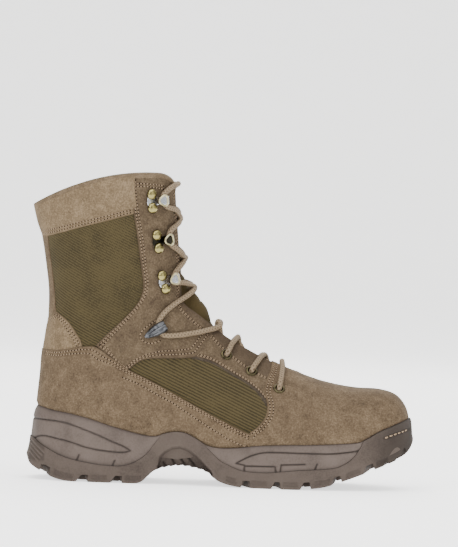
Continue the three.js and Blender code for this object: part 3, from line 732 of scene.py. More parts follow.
@dataclass(frozen=True)
class Rubber(Finish):
    """Moulded rubber or foam: an even matt skin with rubbed edges, darker in its recesses from dust and
    painted shade.
    """

    roughness: float = 0.62
    grain_mm: float = 1.4  # spark-eroded mould grain, drawn coarser than its 0.3 mm
    cloud_mm: float = 22.0  # broad patches of dust

    def pattern(self, tree: Tree, coords: Mapping[str, Socket]) -> Pattern:
        """Two noises set the shade; the points' tone, 1 in a recess and below 0 on an edge, darkens it
        with dust and painted shade.
        """
        place = coords["Object"]
        grain = add_node(tree, "TexNoise", {"Vector": place, "Scale": per_metre(self.grain_mm),
                                            "Detail": 2.0, "Roughness": 0.7})
        cloud = add_node(tree, "TexNoise", {"Vector": place, "Scale": per_metre(self.cloud_mm),
                                            "Detail": 3.0, "Roughness": 0.55})
        both = add_node(tree, "Mix", {"Factor": 0.35, 2: cloud.outputs[0], 3: grain.outputs[0]},
                        data_type="FLOAT")
        colour = add_node(tree, "ValToRGB", {0: both.outputs[0]}, ramp=self.ramp(0.0, 0.5, 1.0))
        # The tone is dust and painted shade in grooves and hollows, and painted shade at seams and the
        # toe.
        depth = add_node(tree, "Attribute", attribute_name="tone").outputs["Fac"]
        soft = add_node(tree, "Math", {0: depth, 1: 0.8}, operation="MULTIPLY", use_clamp=True)
        dark = add_node(tree, "Mix", {"Factor": soft.outputs[0], 6: colour.outputs[0],
                                      7: linear(self.shades[0])}, data_type="RGBA")
        return Pattern(dark.outputs[2], grain.outputs[0], 0.25, 0.0003,
                       {"Roughness": self.roughness, "Specular IOR Level": 0.18})


@dataclass(frozen=True)
class AgedMetal(Finish):
    """Plated steel, tumbled: bright where it is rubbed, darker patches of patina elsewhere."""

    roughness: float = 0.3
    patch_mm: float = 2.5  # patches of patina

    def pattern(self, tree: Tree, coords: Mapping[str, Socket]) -> Pattern:
        """One noise sets the shade and the relief."""
        patch = add_node(tree, "TexNoise", {
            "Vector": coords["Object"], "Scale": per_metre(self.patch_mm), "Detail": 4.0,
            "Roughness": 0.65})
        colour = add_node(tree, "ValToRGB", {0: patch.outputs[0]}, ramp=self.ramp(0.3, 0.7))
        return Pattern(colour.outputs[0], patch.outputs[0], 0.12, 0.0002,
                       {"Metallic": 1.0, "Roughness": self.roughness})


@dataclass(frozen=True)
class Braid(Finish):
    """Round braided polyester cord, its strands crossing both ways round it."""

    strand_mm: float = 1.1  # length of one crossing along the cord
    lean: float = 0.62  # radians between a strand and the cord
    dust_mm: float = 5.0  # patches where dust has settled

    def pattern(self, tree: Tree, coords: Mapping[str, Socket]) -> Pattern:
        """Two slanting waves, on the cord's own UV map in metres along and round it."""
        crossings = []
        for lean in (self.lean, -self.lean):
            turned = add_node(tree, "Mapping", {"Vector": coords["UV"], "Rotation": (0, 0, lean)})
            crossings.append(add_node(tree, "TexWave", {
                "Vector": turned.outputs[0], "Scale": per_metre(self.strand_mm) / (2 * math.pi),
                "Distortion": 0.4, "Detail": 0.0}, bands_direction="X").outputs["Fac"])
        weave = add_node(tree, "Math", dict(enumerate(crossings)), operation="MAXIMUM")
        dust = add_node(tree, "TexNoise", {"Vector": coords["UV"], "Detail": 2.0,
                                           "Scale": per_metre(self.dust_mm)})
        # The weave lightens the strands' crests and darkens the gaps between them: painted highlight and
        # painted shade; the dust patches are real.
        level = add_node(tree, "Math", {0: dust.outputs[0], 1: 0.5, 2: weave.outputs[0]},
                         operation="MULTIPLY_ADD")
        colour = add_node(tree, "ValToRGB", {0: level.outputs[0]}, ramp=self.ramp(0.35, 0.8, 1.0))
        return Pattern(colour.outputs[0], weave.outputs[0], 0.35, 0.0004,
                       {"Roughness": 0.8, "Specular IOR Level": 0.25})


@dataclass(frozen=True)
class SpacerMesh(Finish):
    """Knitted spacer mesh of a lining: small round cells in a matt knit."""

    cell_mm: float = 2.2  # from one cell to the next

    def pattern(self, tree: Tree, coords: Mapping[str, Socket]) -> Pattern:
        """The distance to the nearest cell's middle sets the shade and the relief."""
        cells = add_node(tree, "TexVoronoi", {
            "Vector": coords["Object"], "Scale": per_metre(self.cell_mm), "Randomness": 0.35})
        colour = add_node(tree, "ValToRGB", {0: cells.outputs["Distance"]},
                          ramp=self.ramp(0.12, 0.42))
        return Pattern(colour.outputs[0], cells.outputs["Distance"], 0.6, 0.0006,
                       {"Roughness": 0.9, "Specular IOR Level": 0.2, "Sheen Weight": 0.15})


class Wardrobe:
    """Every finish of the boot, made once."""

    def __init__(self) -> None:
        """Builds the materials."""
        # Suedes: pale taupe on the toe and heel, warmer and darker on the ankle's quarter.
        self.suede = Suede("suede", ("#403528", "#564838", "#6C5D4A")).build()
        self.collar_suede = Suede("collar_suede", ("#4F4233", "#655642", "#7B6A54")).build()
        self.quarter_suede = Suede("quarter_suede", ("#3A2F25", "#4E4233", "#635544")).build()
        self.edge_suede = Suede("pale_suede", ("#4C4030", "#5F5140", "#736350")).build()
        self.tape = Suede("grey_tape", ("#2A241D", "#3C342B", "#4C4338")).build()
        # The needle holes' near-black suede is painted shade, standing for the shade inside each hole.
        self.needle_hole = Suede("needle_hole", ("#120C07", "#1E150D", "#2A1F14")).build()
        # Cloths: olive nylon, darker on the tongue, and a near-black mesh inside. The ribbed nylon's
        # shades run from painted shade in the valleys to a painted highlight on the crests.
        self.nylon = RibbedNylon("ribbed_nylon", ("#1A160C", "#2D2614", "#423922")).build()
        self.tongue = RibbedNylon("tongue_nylon", ("#151007", "#2A210E", "#3A2F16")).build()
        self.lining = SpacerMesh("lining_mesh", ("#14120F", "#2E2A22")).build()
        self.footbed = SpacerMesh("footbed_cloth", ("#1C1A16", "#403B30"), 1.6).build()
        # Sole: grey-brown rubber, with a slightly paler and smoother foam above it.
        self.outsole = Rubber("outsole_rubber", ("#17120F", "#4C433D", "#5A514A"), 0.88).build()
        self.midsole = Rubber("midsole_foam", ("#1D1815", "#574D47", "#665B55"), 0.7).build()
        # Metals: yellow rivets, dark eyelets, pale rings as a painted highlight on the hooks' heads,
        # silver hooks 1 and 3 as a painted reflection beside a dark hook 2, and a grey lock.
        self.brass = AgedMetal("antique_brass", ("#7B7149", "#978D5B"), 0.26, 4.0).build()
        self.dark_brass = AgedMetal("blackened_brass", ("#29251A", "#57503A"), 0.3, 3.0).build()
        self.pale_brass = AgedMetal("rubbed_brass", ("#8F8560", "#C9C19C"), 0.3, 3.0).build()
        self.nickel = AgedMetal("tarnished_nickel", ("#B2B6BC", "#D9DCE0"), 0.22, 5.0).build()
        self.steel = AgedMetal("dark_hook_metal", ("#201E18", "#35332B"), 0.35, 4.0).build()
        self.lock = AgedMetal("lock_steel", ("#303134", "#74767A"), 0.34, 2.2).build()
        # Cords: the lace is duller than the thread, whose paler shades pick the seams out; in both the
        # braid's crests carry a painted highlight and its gaps painted shade.
        self.lace = Braid("lace_braid", ("#4C3F2F", "#635340", "#7A6A55")).build()
        self.thread = Braid("sewing_thread", ("#5E4E3D", "#85715B", "#A08B72"), 0.8).build()


class Assembly:
    """A part of the boot that makes its own pieces and dresses them."""

    def build(self, wardrobe: Wardrobe) -> list[Piece]:
        """Makes the pieces.

        Args:
            wardrobe: the boot's finishes.

        Returns:
            The pieces, in the order in which they are made.
        """
        raise NotImplementedError


# ---------------------------------------------------------------- camera, light and floor
@dataclass(frozen=True)
class Studio:
    """A pale seamless floor, soft light and a long lens level with the boot's side."""

    frame_height: float = 426.4  # mm at the boot that the frame's height takes in
    distance: float = 4200.0
    elevation: float = 1.5  # degrees
    roll: float = -1.96  # degrees; the toe hangs a little low
    aim: tuple[float, float, float] = (155.0, -27.0, 165.4)

    def build(self) -> None:
        """Makes the camera, the lights, the world and the floor."""
        self.camera()
        self.lights()
        self.floor()

    def camera(self) -> None:
        """Looks along +y at the aim point, rolled about its own axis."""
        lens = bpy.data.cameras.new("camera")
        lens.sensor_fit = "VERTICAL"
        lens.sensor_height = 36
        lens.lens = lens.sensor_height * self.distance / self.frame_height
        lens.clip_end = 40
        camera = bpy.data.objects.new("camera", lens)
        tilt = math.radians(self.elevation)
        x, y, z = self.aim
        camera.location = ((x - BOOT_LENGTH / 2) / 1000, (y - self.distance * math.cos(tilt)) / 1000,
                           (z + self.distance * math.sin(tilt)) / 1000)
        turn = Matrix.Rotation(math.radians(90 - self.elevation), 4, "X")
        roll = Matrix.Rotation(-math.radians(self.roll), 4, "Z")
        camera.rotation_mode = "XYZ"
        camera.rotation_euler = (turn @ roll).to_euler()
        bpy.context.collection.objects.link(camera)
        bpy.context.scene.camera = camera

    def lights(self) -> None:
        """A broad light overhead, a key from the front left, a fill, and a room paler above."""
        # Name, place and aim in metres, size in metres, power in watts.
        rows = (("top", (0.0, -0.3, 1.9), (0, 0, 0.05), 2.0, 44),
                ("key", (-1.0, -2.0, 1.5), (0, 0, 0.1), 1.2, 30),
                ("fill", (1.6, -1.6, 0.8), (0, 0, 0.1), 1.6, 12),
                ("back", (0.2, 1.7, 1.4), (0, 0.6, 0.3), 1.8, 30))
        for name, place, aim, size, power in rows:
            data = bpy.data.lights.new(name, "AREA")
            data.size = size
            data.energy = power
            light = bpy.data.objects.new(name, data)
            light.location = place
            away = Vector(aim) - Vector(place)
            light.rotation_euler = away.to_track_quat("-Z", "Y").to_euler()
            bpy.context.collection.objects.link(light)
        world = bpy.data.worlds.new("studio")
        world.use_nodes = True
        tree = world.node_tree
        way = add_node(tree, "TexCoord").outputs["Generated"]
        high = add_node(tree, "SeparateXYZ", {"Vector": way}).outputs["Z"]
        level = add_node(tree, "MapRange", {"Value": high, "From Min": -0.1, "From Max": 0.9,
                                            "To Min": 0.4, "To Max": 1.25})
        sky = tree.nodes["Background"]
        sky.inputs["Color"].default_value = linear("#F4F3F1")
        tree.links.new(level.outputs[0], sky.inputs["Strength"])
        bpy.context.scene.world = world

    def floor(self) -> None:
        """A floor that curves up far behind into a wall: height is the far bend's quarter circle."""
        across, back = np.meshgrid(np.linspace(-6, 6, 9), np.linspace(-4, 5.5, 60))
        bend = np.clip((back - 2.5) / 3.0, 0, 1)
        points = np.stack([across, back, 3.4 * (1 - np.sqrt(1 - bend**2))], axis=-1)
        mesh = bpy.data.meshes.new("floor")
        mesh.from_pydata(points.reshape(-1, 3).tolist(), [], grid_quads(60, 9).tolist())
        mesh.shade_smooth()
        # Studio paper, lit a little from within so that it stays white behind the boot.
        material, tree, output = new_material("studio_paper")
        place = add_node(tree, "TexCoord").outputs["Object"]
        fibre = add_node(tree, "TexNoise", {"Vector": place, "Scale": 30.0, "Detail": 3.0})
        colour = add_node(tree, "ValToRGB", {0: fibre.outputs[0]},
                          ramp=((0.3, "#F6F6F5"), (0.7, "#FAFAF9")))
        surface = add_node(tree, "BsdfPrincipled", {
            "Base Color": colour.outputs[0], "Roughness": 0.9,
            "Emission Color": linear("#FFFFFF"), "Emission Strength": 1.3})
        tree.links.new(surface.outputs[0], output.inputs[0])
        mesh.materials.append(material)
        floor = bpy.data.objects.new("floor", mesh)
        bpy.context.collection.objects.link(floor)


# ---------------------------------------------------------------- panels of the upper
LINING_OUT = -0.9  # mm from the last's form to the lining's outer face
BURY = -1.15  # where the panels' undersides lie, just inside the lining
MEASURED = np.linspace(0, 1, 25)  # shares of a panel at which its lengths are measured
CUT_STEPS = (0.0, 0.1, 0.3, 0.6, 1.0, 1.4, 1.8, 2.3, 2.9, 3.4, 3.8, 4.4)  # lines by a cut edge
STITCH_INSETS = (1.8, 3.8)  # mm from a cut edge to its two rows of stitches
STITCH_DENT, STITCH_SPREAD = 0.28, 0.55  # mm that a row of stitches sinks, and how widely
SWELL_REACH = 7.0  # mm from a cut edge over which a panel swells to its crown
RIM_ROOM, RIM_SLOPE, RIM_MARGIN = 0.12, 0.6, 0.3  # how a panel is let out above the sole's rim
RIM_LINE = TableCurve(*zip(*(
    (0, 57), (9, 56.4), (20, 54.2), (35, 52.2), (50, 49), (65, 44.6), (80, 40.6), (93, 37.8),
    (102, 37.2), (109, 39.4), (117, 41), (125, 40.4), (133, 36.8), (141, 32), (150, 30),
    (164, 30.4), (180, 32.6), (200, 34), (225, 35), (250, 36.6), (262, 38), (269, 41.6),
    (276, 45.8), (286, 50.2), (297, 54.6), (304, 57))))  # x and z of the sole's rim


def on_form(u: Array, v: Array, height: Array | float) -> tuple[Array, Array]:
    """Points at a height above the form and their normals, kept inside the sole's rim.

    Below the rim a point lies close to the form, and above it the height is let out gradually.
    A turn below 0 carries on round the back to the other side.

    Args:
        u: section numbers.
        v: turns, -1 to 2.
        height: distance outwards in mm.

    Returns:
        Points and unit normals, each (..., 3).
    """
    v = np.where(v < 0, v + 2, v)
    base, normal = FORM.point(u, v), FORM.normal(u, v)
    above = np.maximum(base[..., 2] - RIM_LINE(base[..., 0]) - RIM_MARGIN, 0)
    room = RIM_ROOM + RIM_SLOPE * above
    rise = np.minimum(height - FORM.crease(base), room)
    return base + normal * rise[..., None], normal


def closed_shell(top: Array, bottom: Array, tone: Array | None = None) -> Shape:
    """Closed shape of two grids of one size, with walls between their edges.

    Args:
        top: outer grid (rows, columns, 3).
        bottom: inner grid.
        tone: values for the outer grid's points; the inner ones get 0.

    Returns:
        The shape.
    """
    rows, columns = top.shape[:2]
    count = rows * columns
    face = grid_quads(rows, columns)
    index = np.arange(count).reshape(rows, columns)
    rim = np.concatenate([index[0, :-1], index[:-1, -1], index[-1, :0:-1], index[:0:-1, 0]])
    after = np.roll(rim, -1)
    walls = np.stack([rim, rim + count, after + count, after], axis=-1)
    quads = np.concatenate([face, face[:, ::-1] + count, walls])
    points = np.concatenate([top.reshape(-1, 3), bottom.reshape(-1, 3)])
    shade = None if tone is None else np.concatenate([tone.ravel(), np.zeros(count)])
    return Shape(points, quads, None, shade)


class Edge(Enum):
    """The four edges of a panel: s runs along NEAR and FAR, t along START and END."""

    NEAR = "near"
    FAR = "far"
    START = "start"
    END = "end"


def side_line(*points: tuple[float, float], count: int = 160) -> Array:
    """Smooth line through places seen from the side, as sections and lateral turns."""
    u, v = FORM.locate(smooth_line(points, count))
    return np.stack([u, v], axis=-1)


def turn_line(u: Sequence[float], v: Sequence[float], count: int = 160) -> Array:
    """Line through a few section numbers and turns, straight between them.

    Args:
        u: section numbers.
        v: turns, as many.
        count: how many points to return.

    Returns:
        Array (count, 2).
    """
    share = np.linspace(0, 1, count)
    keys = np.linspace(0, 1, len(u))
    return np.stack([np.interp(share, keys, u), np.interp(share, keys, v)], axis=-1)


def throat_line(u_from: float, u_to: float, inset: float = 0.0, count: int = 160) -> Array:
    """The lateral throat edge between two sections, moved off the opening by an inset in mm."""
    u = np.linspace(u_from, u_to, count)
    return np.stack([u, FORM.throat_turn(u, inset)], axis=-1)


def ahead(line: Array) -> Array:
    """The same line on the other side, reached round the back: its turns change sign."""
    return line * (1, -1)


@dataclass
class Panel:
    """A piece cut from suede or nylon: four edges on the form, filled in between them.

    A place inside is the sum of the two pairs of opposite edges, each blended across, less the
    blend of the four corners. The near edge's share is (1 - t) to the power of fade.
    """

    name: str
    near: Array
    far: Array
    start: Array
    end: Array
    height: float
    cut: tuple[Edge, ...]
    sewn: tuple[Edge, ...] = ()
    spacing: float = 2.2  # mm between the grid's points
    fine: float = 0.0  # the same along t, where it has to be closer
    fade: float = 1.0
    roll: float = 0.7  # radius of a cut edge
    crown: float = 0.25  # mm that the middle swells
    ribs: Callable[[Array], Array] | None = None
    rib_height: float = 0.34
    lengths: tuple[Array, Array] = field(init=False)

    def __post_init__(self) -> None:
        """Measures the panel along s and along t, at even shares of the other."""
        s, t = np.meshgrid(MEASURED, MEASURED, indexing="ij")
        points = on_form(*self.place(s, t), 0.0)[0]
        along_s = np.linalg.norm(np.diff(points, axis=0), axis=-1).sum(0)
        along_t = np.linalg.norm(np.diff(points, axis=1), axis=-1).sum(1)
        self.lengths = np.maximum(along_s, 0.5), np.maximum(along_t, 0.5)

    def place(self, s: Array, t: Array) -> tuple[Array, Array]:
        """Section and turn at shares s and t of the panel.

        Args:
            s: shares along the panel.
            t: shares across it.

        Returns:
            Section numbers and turns.
        """
        share = np.linspace(0, 1, len(self.near))

        def along(line: Array, at: Array) -> Array:
            """The line's places at shares of it."""
            return np.stack([np.interp(at, share, column) for column in line.T], axis=-1)
        s3, t3 = s[..., None], t[..., None]
        close = (1 - t3) ** self.fade
        corners = ((1 - s3) * close * self.near[0] + s3 * close * self.near[-1]
                   + (1 - s3) * (1 - close) * self.far[0] + s3 * (1 - close) * self.far[-1])
        both = (close * along(self.near, s) + (1 - close) * along(self.far, s)
                + (1 - s3) * along(self.start, t) + s3 * along(self.end, t))
        uv = both - corners
        return uv[..., 0], uv[..., 1]

    def length(self, way: int, at: Array) -> Array:
        """Length along s (way 0) or t (way 1), at shares of the other."""
        return np.interp(at, MEASURED, self.lengths[way])

    def lines(self, way: int, at: Array) -> Array:
        """Shares of the grid's lines: close together by a cut edge, even elsewhere.

        Args:
            way: 0 for lines along s, 1 for lines along t.
            at: shares of the other way, (m,).

        Returns:
            Array (m, lines).
        """
        low, high = ((Edge.START, Edge.END), (Edge.NEAR, Edge.FAR))[way]
        first = np.array(CUT_STEPS if low in self.cut else CUT_STEPS[:1])
        last = np.array(CUT_STEPS if high in self.cut else CUT_STEPS[:1])
        full = self.length(way, at)[:, None]
        typical = float(self.lengths[way].max())
        spacing = self.fine if way and self.fine else self.spacing
        inner = max(3, round((typical - first[-1] - last[-1]) / spacing))
        fit = np.minimum(1, 0.8 * full / (first[-1] + last[-1] + 0.01))
        low_lines, high_lines = first * fit, full - last[::-1] * fit
        share = np.linspace(0, 1, inner + 1)[1:-1]
        middle = low_lines[:, -1:] + share * (high_lines[:, :1] - low_lines[:, -1:])
        return np.concatenate([low_lines, middle, high_lines], axis=1) / full

    def edge_distances(self, s: Array, t: Array) -> dict[Edge, Array]:
        """Distance in mm from places to each of the four edges, along the panel's own lines."""
        along_s, along_t = self.length(0, t), self.length(1, s)
        return {Edge.START: s * along_s, Edge.END: (1 - s) * along_s,
                Edge.NEAR: t * along_t, Edge.FAR: (1 - t) * along_t}

    def rise(self, s: Array, t: Array) -> tuple[Array, Array]:
        """Height of the outer face and its painted shade.

        By a cut edge the height follows a quarter circle, then swells softly to the crown, and it
        sinks along each row of stitches.

        Args:
            s: shares along the panel.
            t: shares across it.

        Returns:
            Heights in mm and painted shade, 0 to 1.
        """
        away = self.edge_distances(s, t)
        nearest = np.min([away[e] for e in self.cut] or [np.full(s.shape, 99.0)], axis=0)
        inner = self.roll - np.minimum(nearest, self.roll)
        height = self.height - self.roll + np.sqrt(self.roll**2 - inner**2)
        height = height + self.crown * (1 - np.exp(-((nearest / SWELL_REACH) ** 2)))
        # Painted shade: dark along a cut edge and in the dent of each row of stitches.
        tone = 0.9 * np.exp(-nearest / 0.5)
        for edge in self.sewn:
            for inset in STITCH_INSETS:
                dent = np.exp(-(((away[edge] - inset) / STITCH_SPREAD) ** 2))
                height = height - STITCH_DENT * dent
                tone = np.maximum(tone, 0.55 * dent)
        return height, tone

    def shape(self, side: Side = Side.LATERAL) -> Shape:
        """The panel as a closed shell, on either side of the boot.

        Args:
            side: side of the boot.

        Returns:
            The shape.
        """
        half = np.full(1, 0.5)
        s = self.lines(0, self.lines(1, half)[0]).T
        t = self.lines(1, self.lines(0, half)[0])
        u, v = self.place(s, t)
        v = side.turn(v)
        height, tone = self.rise(s, t)
        if self.ribs is not None:
            cord = self.ribs(on_form(u, v, 0.0)[0])
            height = height + self.rib_height * (cord - 1)
            # Painted highlight on the cords' crests and painted shade in their valleys.
            tone = 0.1 + 0.6 * cord
        return closed_shell(on_form(u, v, height)[0], on_form(u, v, BURY)[0], tone).facing(side)

    def row(self, edge: Edge, inset: float, begin: float = 0.02, end: float = 0.98,
            side: Side = Side.LATERAL) -> Row:
        """A line along an edge on the outer face, for stitches.

        Args:
            edge: the edge that it follows.
            inset: mm from it.
            begin: share of the edge where the line starts.
            end: share of the edge where it stops.
            side: side of the boot.

        Returns:
            Points and normals, each (n, 3).
        """
        at = np.linspace(begin, end, 400)
        across = self.length(1 if edge in (Edge.NEAR, Edge.FAR) else 0, at)
        share = inset / across
        if edge in (Edge.FAR, Edge.END):
            share = 1 - share
        s, t = (at, share) if edge in (Edge.NEAR, Edge.FAR) else (share, at)
        u, v = self.place(s, t)
        return on_form(u, side.turn(v), self.rise(s, t)[0])


# ---------------------------------------------------------------- stitches
def copied(frames: Sequence[Array], local: Sequence[Array]) -> Shape:
    """A small grid carried to many frames.

    Args:
        frames: origins and axes ahead, aside and outwards, each (frames, 3).
        local: the grid's places along those axes, each (rings, sides), with its rows closed.

    Returns:
        All the copies as one shape.
    """
    origins, *axes = [part[:, None, None] for part in frames]
    cells = origins + sum(place[..., None] * axis for place, axis in zip(local, axes))
    rings, sides = local[0].shape
    starts = np.arange(len(origins))[:, None, None] * rings * sides
    quads = grid_quads(rings, sides, closed=True) + starts
    return Shape(cells.reshape(-1, 3), quads.reshape(-1, 4))


@dataclass(frozen=True)
class Stitches:
    """A lockstitch: a short thick thread that dips into the suede at each end."""

    pitch: float = 2.6
    length: float = 1.75
    radius: float = 0.46
    hole_radius: float = 0.72

    def spaced(self, row: Row, shares: int) -> Row:
        """A line's points and normals at even shares of the pitch.

        Args:
            row: the line's points and normals.
            shares: steps to each pitch.

        Returns:
            The evenly spaced points and unit normals.
        """
        points, normals = row
        run = float(np.linalg.norm(np.diff(points, axis=0), axis=1).sum())
        count = max(2, int(run / self.pitch))
        both = even_steps(np.concatenate([points, normals * 0.01], axis=1), shares * count + 1)
        return both[:, :3], unit(both[:, 3:])

    def along(self, row: Row) -> Shape:
        """Stitches along a line.

        A stitch is a tube whose radius falls from its middle to its ends, bent down by the square
        of the distance from its middle. It is copied to even steps along the line.

        Args:
            row: the line's points and normals.

        Returns:
            All stitches as one shape, with a UV map in metres along and across each.
        """
        points, out = self.spaced(row, 2)
        ahead_by = unit(points[2::2] - points[:-2:2])
        aside = unit(np.cross(out[1::2], ahead_by))
        rings, around = np.linspace(-1, 1, 5)[:, None], np.linspace(0, 2 * np.pi, 6, endpoint=False)
        width = self.radius * np.sqrt(1 - rings**4)
        along = np.repeat(rings * self.length / 2, 6, 1)
        wide = width * np.cos(around)
        high = 0.1 - 0.5 * rings**2 * self.radius + width * np.sin(around)
        frames = points[1::2], ahead_by, aside, np.cross(ahead_by, aside)
        uv = np.broadcast_to(np.stack([along, wide], axis=-1) / 1000, (len(aside), 5, 6, 2))
        return replace(copied(frames, (along, wide, high)), uv=uv.reshape(-1, 2))

    def holes(self, row: Row) -> Shape:
        """Needle holes between the stitches: small dark dimples, as flattened domes, coloured as painted
        shade of the holes.

        Args:
            row: the line's points and normals.

        Returns:
            All dimples as one shape.
        """
        points, out = self.spaced(row, 1)
        aside = unit(np.cross(out, unit(np.gradient(points, axis=0))))
        angle = np.linspace(0, 2 * np.pi, 8, endpoint=False)
        rings = np.array([0.0, 0.62, self.hole_radius])[:, None]
        high = np.array([0.16, 0.12, -0.3])[:, None] + 0 * angle
        return copied((points, np.cross(aside, out), aside, out),
                      (rings * np.sin(angle), rings * np.cos(angle), high))


STITCHES = Stitches()


# ---------------------------------------------------------------- the upper
def cord_ribs(pitch: float, degrees: float) -> Callable[[Array], Array]:
    """Height of a nylon's cords as a function of place.

    The cords are rounded crests, a pitch apart, that run down towards the toe at an angle. Their
    count goes by the height and by the way round the boot, which is taken as x plus what the
    side's curve adds.

    Args:
        pitch: mm from crest to crest.
        degrees: how far the cords slope.

    Returns:
        A function from a grid of the form's points to shares of a cord's height.
    """
    turn = math.radians(degrees)

    def height(points: Array) -> Array:
        """Share of a cord's height at points of the form.

        Args:
            points: grid (rows, columns, 3) in mm.

        Returns:
            Shares, 0 to 1.
        """
        run = np.linalg.norm(np.diff(points[..., :2], axis=0), axis=-1)
        around = np.concatenate([np.zeros_like(run[:1]), np.cumsum(run, axis=0)])
        around = around - around[-1:] + points[-1:, :, 0]
        phase = (around * math.sin(turn) + points[..., 2] * math.cos(turn)) / pitch
        return np.abs(np.cos(np.pi * phase)) ** 0.7
    return height


def collar_line(v: Array) -> Array:
    """Section number of the wall's top edge at turns, rounded down at the throat's corners.

    Args:
        v: turns, 0 to 2.

    Returns:
        Section numbers.
    """
    near = np.minimum(np.asarray(v, float), 2 - np.asarray(v, float))
    corner = float(FORM.throat_turn(np.array([26.8]))[0])
    share = np.clip((near - corner + 0.15) / 0.15, 0, 1.05)
    return COLLAR - 0.72 * (1 - np.sqrt(np.clip(1 - share**2, 0.0, 1)))


class SewnPanel(NamedTuple):
    """A panel, how it is finished, and the sides it is made for: one side if it spans both."""

    panel: Panel
    finish: Material
    slot: str
    sides: tuple[Side, ...]


@dataclass
class Upper(Assembly):
    """Suede and ribbed nylon panels, sewn over a lining that has the wall's real thickness."""

    wall: float = 2.4
    nylon_height: float = -0.45
    low_suede: float = 0.35
    high_suede: float = 0.95
    counter_height: float = 1.5
    counter_inset: float = 10.5  # mm from the counter's edge to its lower row of stitches
    collar_insets: tuple[float, float] = (5.6, 7.6)

    def build(self, wardrobe: Wardrobe) -> list[Piece]:
        """Makes every panel of the upper and its stitches."""
        panels = self.panels(wardrobe)
        pieces = [self.lining(wardrobe)]
        for panel, finish, slot, sides in panels:
            shapes = [panel.shape(side) for side in sides]
            if panel.ribs is None:
                named = [(panel.name, joined_shapes(shapes))]
            else:
                named = [(f"{panel.name}_{side.label}", shape) for side, shape in zip(sides, shapes)]
            pieces += [make_piece(name, shape, finish, "upper", slot) for name, shape in named]
        return pieces + self.stitching(panels, wardrobe)

    def panels(self, wardrobe: Wardrobe) -> list[SewnPanel]:
        """Every panel with its finish, its slot and the sides that it is made for.

        Args:
            wardrobe: the boot's finishes.

        Returns:
            The panels, in the order in which they are made.
        """
        both, whole = tuple(Side), (Side.LATERAL,)
        quarter = wardrobe.quarter_suede
        return [
            SewnPanel(self.shaft_nylon(), wardrobe.nylon, "nylon", both),
            SewnPanel(self.fore_nylon(), wardrobe.nylon, "nylon", both),
            SewnPanel(self.edge_tape(), wardrobe.tape, "nylon", both),
            SewnPanel(self.backstay(), wardrobe.suede, "suede", whole),
            SewnPanel(self.achilles_patch(), wardrobe.collar_suede, "suede", whole),
            SewnPanel(self.collar_band(), wardrobe.collar_suede, "suede", whole),
            SewnPanel(self.lower_eyestay(), quarter, "suede", both),
            SewnPanel(self.quarter(), quarter, "suede", both),
            SewnPanel(self.vamp(), wardrobe.suede, "suede", whole),
            SewnPanel(self.counter(), wardrobe.suede, "suede", both),
        ]

    def shaft_nylon(self) -> Panel:
        """Nylon of the shaft, from the backstay to under the quarter."""
        return Panel(
            "shaft_nylon",
            near=side_line((11.6, 97), (30, 98), (50, 101), (62, 99)),
            far=side_line((12, 194), (37, 201), (60, 207.5), (84, 214)),
            start=turn_line([21.7, 26.05], [0, 0]),
            end=side_line((62, 99), (67, 113), (84, 131), (91, 146), (91, 160), (88, 184), (84, 214)),
            height=self.nylon_height, cut=(), spacing=1.1, fine=0.47,
            ribs=cord_ribs(1.95, 25))

    def fore_nylon(self) -> Panel:
        """Nylon of the forefoot, between the counter, the eyestay and the vamp."""
        return Panel(
            "forefoot_nylon",
            near=side_line((76, 83), (96, 77), (121, 63.5), (140, 54), (156, 46), (168, 40), (180, 33)),
            far=side_line((76, 92), (94, 101), (119, 102), (133, 104), (154, 96), (171, 86.5),
                          (184, 77), (193, 66)),
            start=side_line((76, 83), (76, 92)),
            end=side_line((180, 33), (188, 45), (193, 57), (193, 66)),
            height=self.nylon_height, cut=(), spacing=1.1, fine=0.47,
            ribs=cord_ribs(2.15, 24))

    def edge_tape(self) -> Panel:
        """Dark tape that edges the forefoot nylon under the eyestay."""
        return Panel(
            "nylon_edge_tape",
            near=side_line((128, 98.4), (142, 95.4), (153.2, 90.2), (161.8, 85.5), (169.7, 81.1),
                           (176.8, 76.2), (182.2, 71), (187.6, 63.4)),
            far=side_line((128, 103), (144, 99.5), (155, 94.5), (164.5, 89.5), (172.5, 85), (180, 80),
                          (187, 74), (191, 66)),
            start=side_line((128, 98.4), (128, 103)), end=side_line((187.6, 63.4), (191, 66)),
            height=-0.15, cut=(Edge.NEAR,), spacing=1.5, roll=0.3, crown=0.0)

    def backstay(self) -> Panel:
        """Narrow strip up the back, from the heel patch to the collar."""
        edge = side_line((21.8, 127), (20.6, 134), (18.6, 152), (15, 173.5), (12.2, 191.5))
        return Panel(
            "backstay", near=turn_line([edge[0, 0]] * 2, [edge[0, 1], -edge[0, 1]]),
            far=turn_line([edge[-1, 0]] * 2, [edge[-1, 1], -edge[-1, 1]]),
            start=edge, end=ahead(edge), height=0.2, cut=(Edge.START, Edge.END),
            spacing=1.6, roll=0.5, crown=0.2)

    def achilles_patch(self) -> Panel:
        """Heel patch above the counter, with its double stitches.

        Returns:
            The panel.
        """
        edge = side_line((43.4, 100), (42.1, 107.6), (38.8, 113.4), (33.6, 120.6), (28.5, 125.8),
                         (21.8, 130.6))
        top = edge[-1]
        return Panel(
            "heel_patch", near=turn_line([edge[0, 0]] * 2, [edge[0, 1], -edge[0, 1]]),
            far=turn_line([top[0], top[0] + 0.05, top[0]], [top[1], 0, -top[1]]),
            start=edge, end=ahead(edge), height=0.55,
            cut=(Edge.START, Edge.END, Edge.FAR), sewn=(Edge.START, Edge.END, Edge.FAR),
            spacing=1.8)

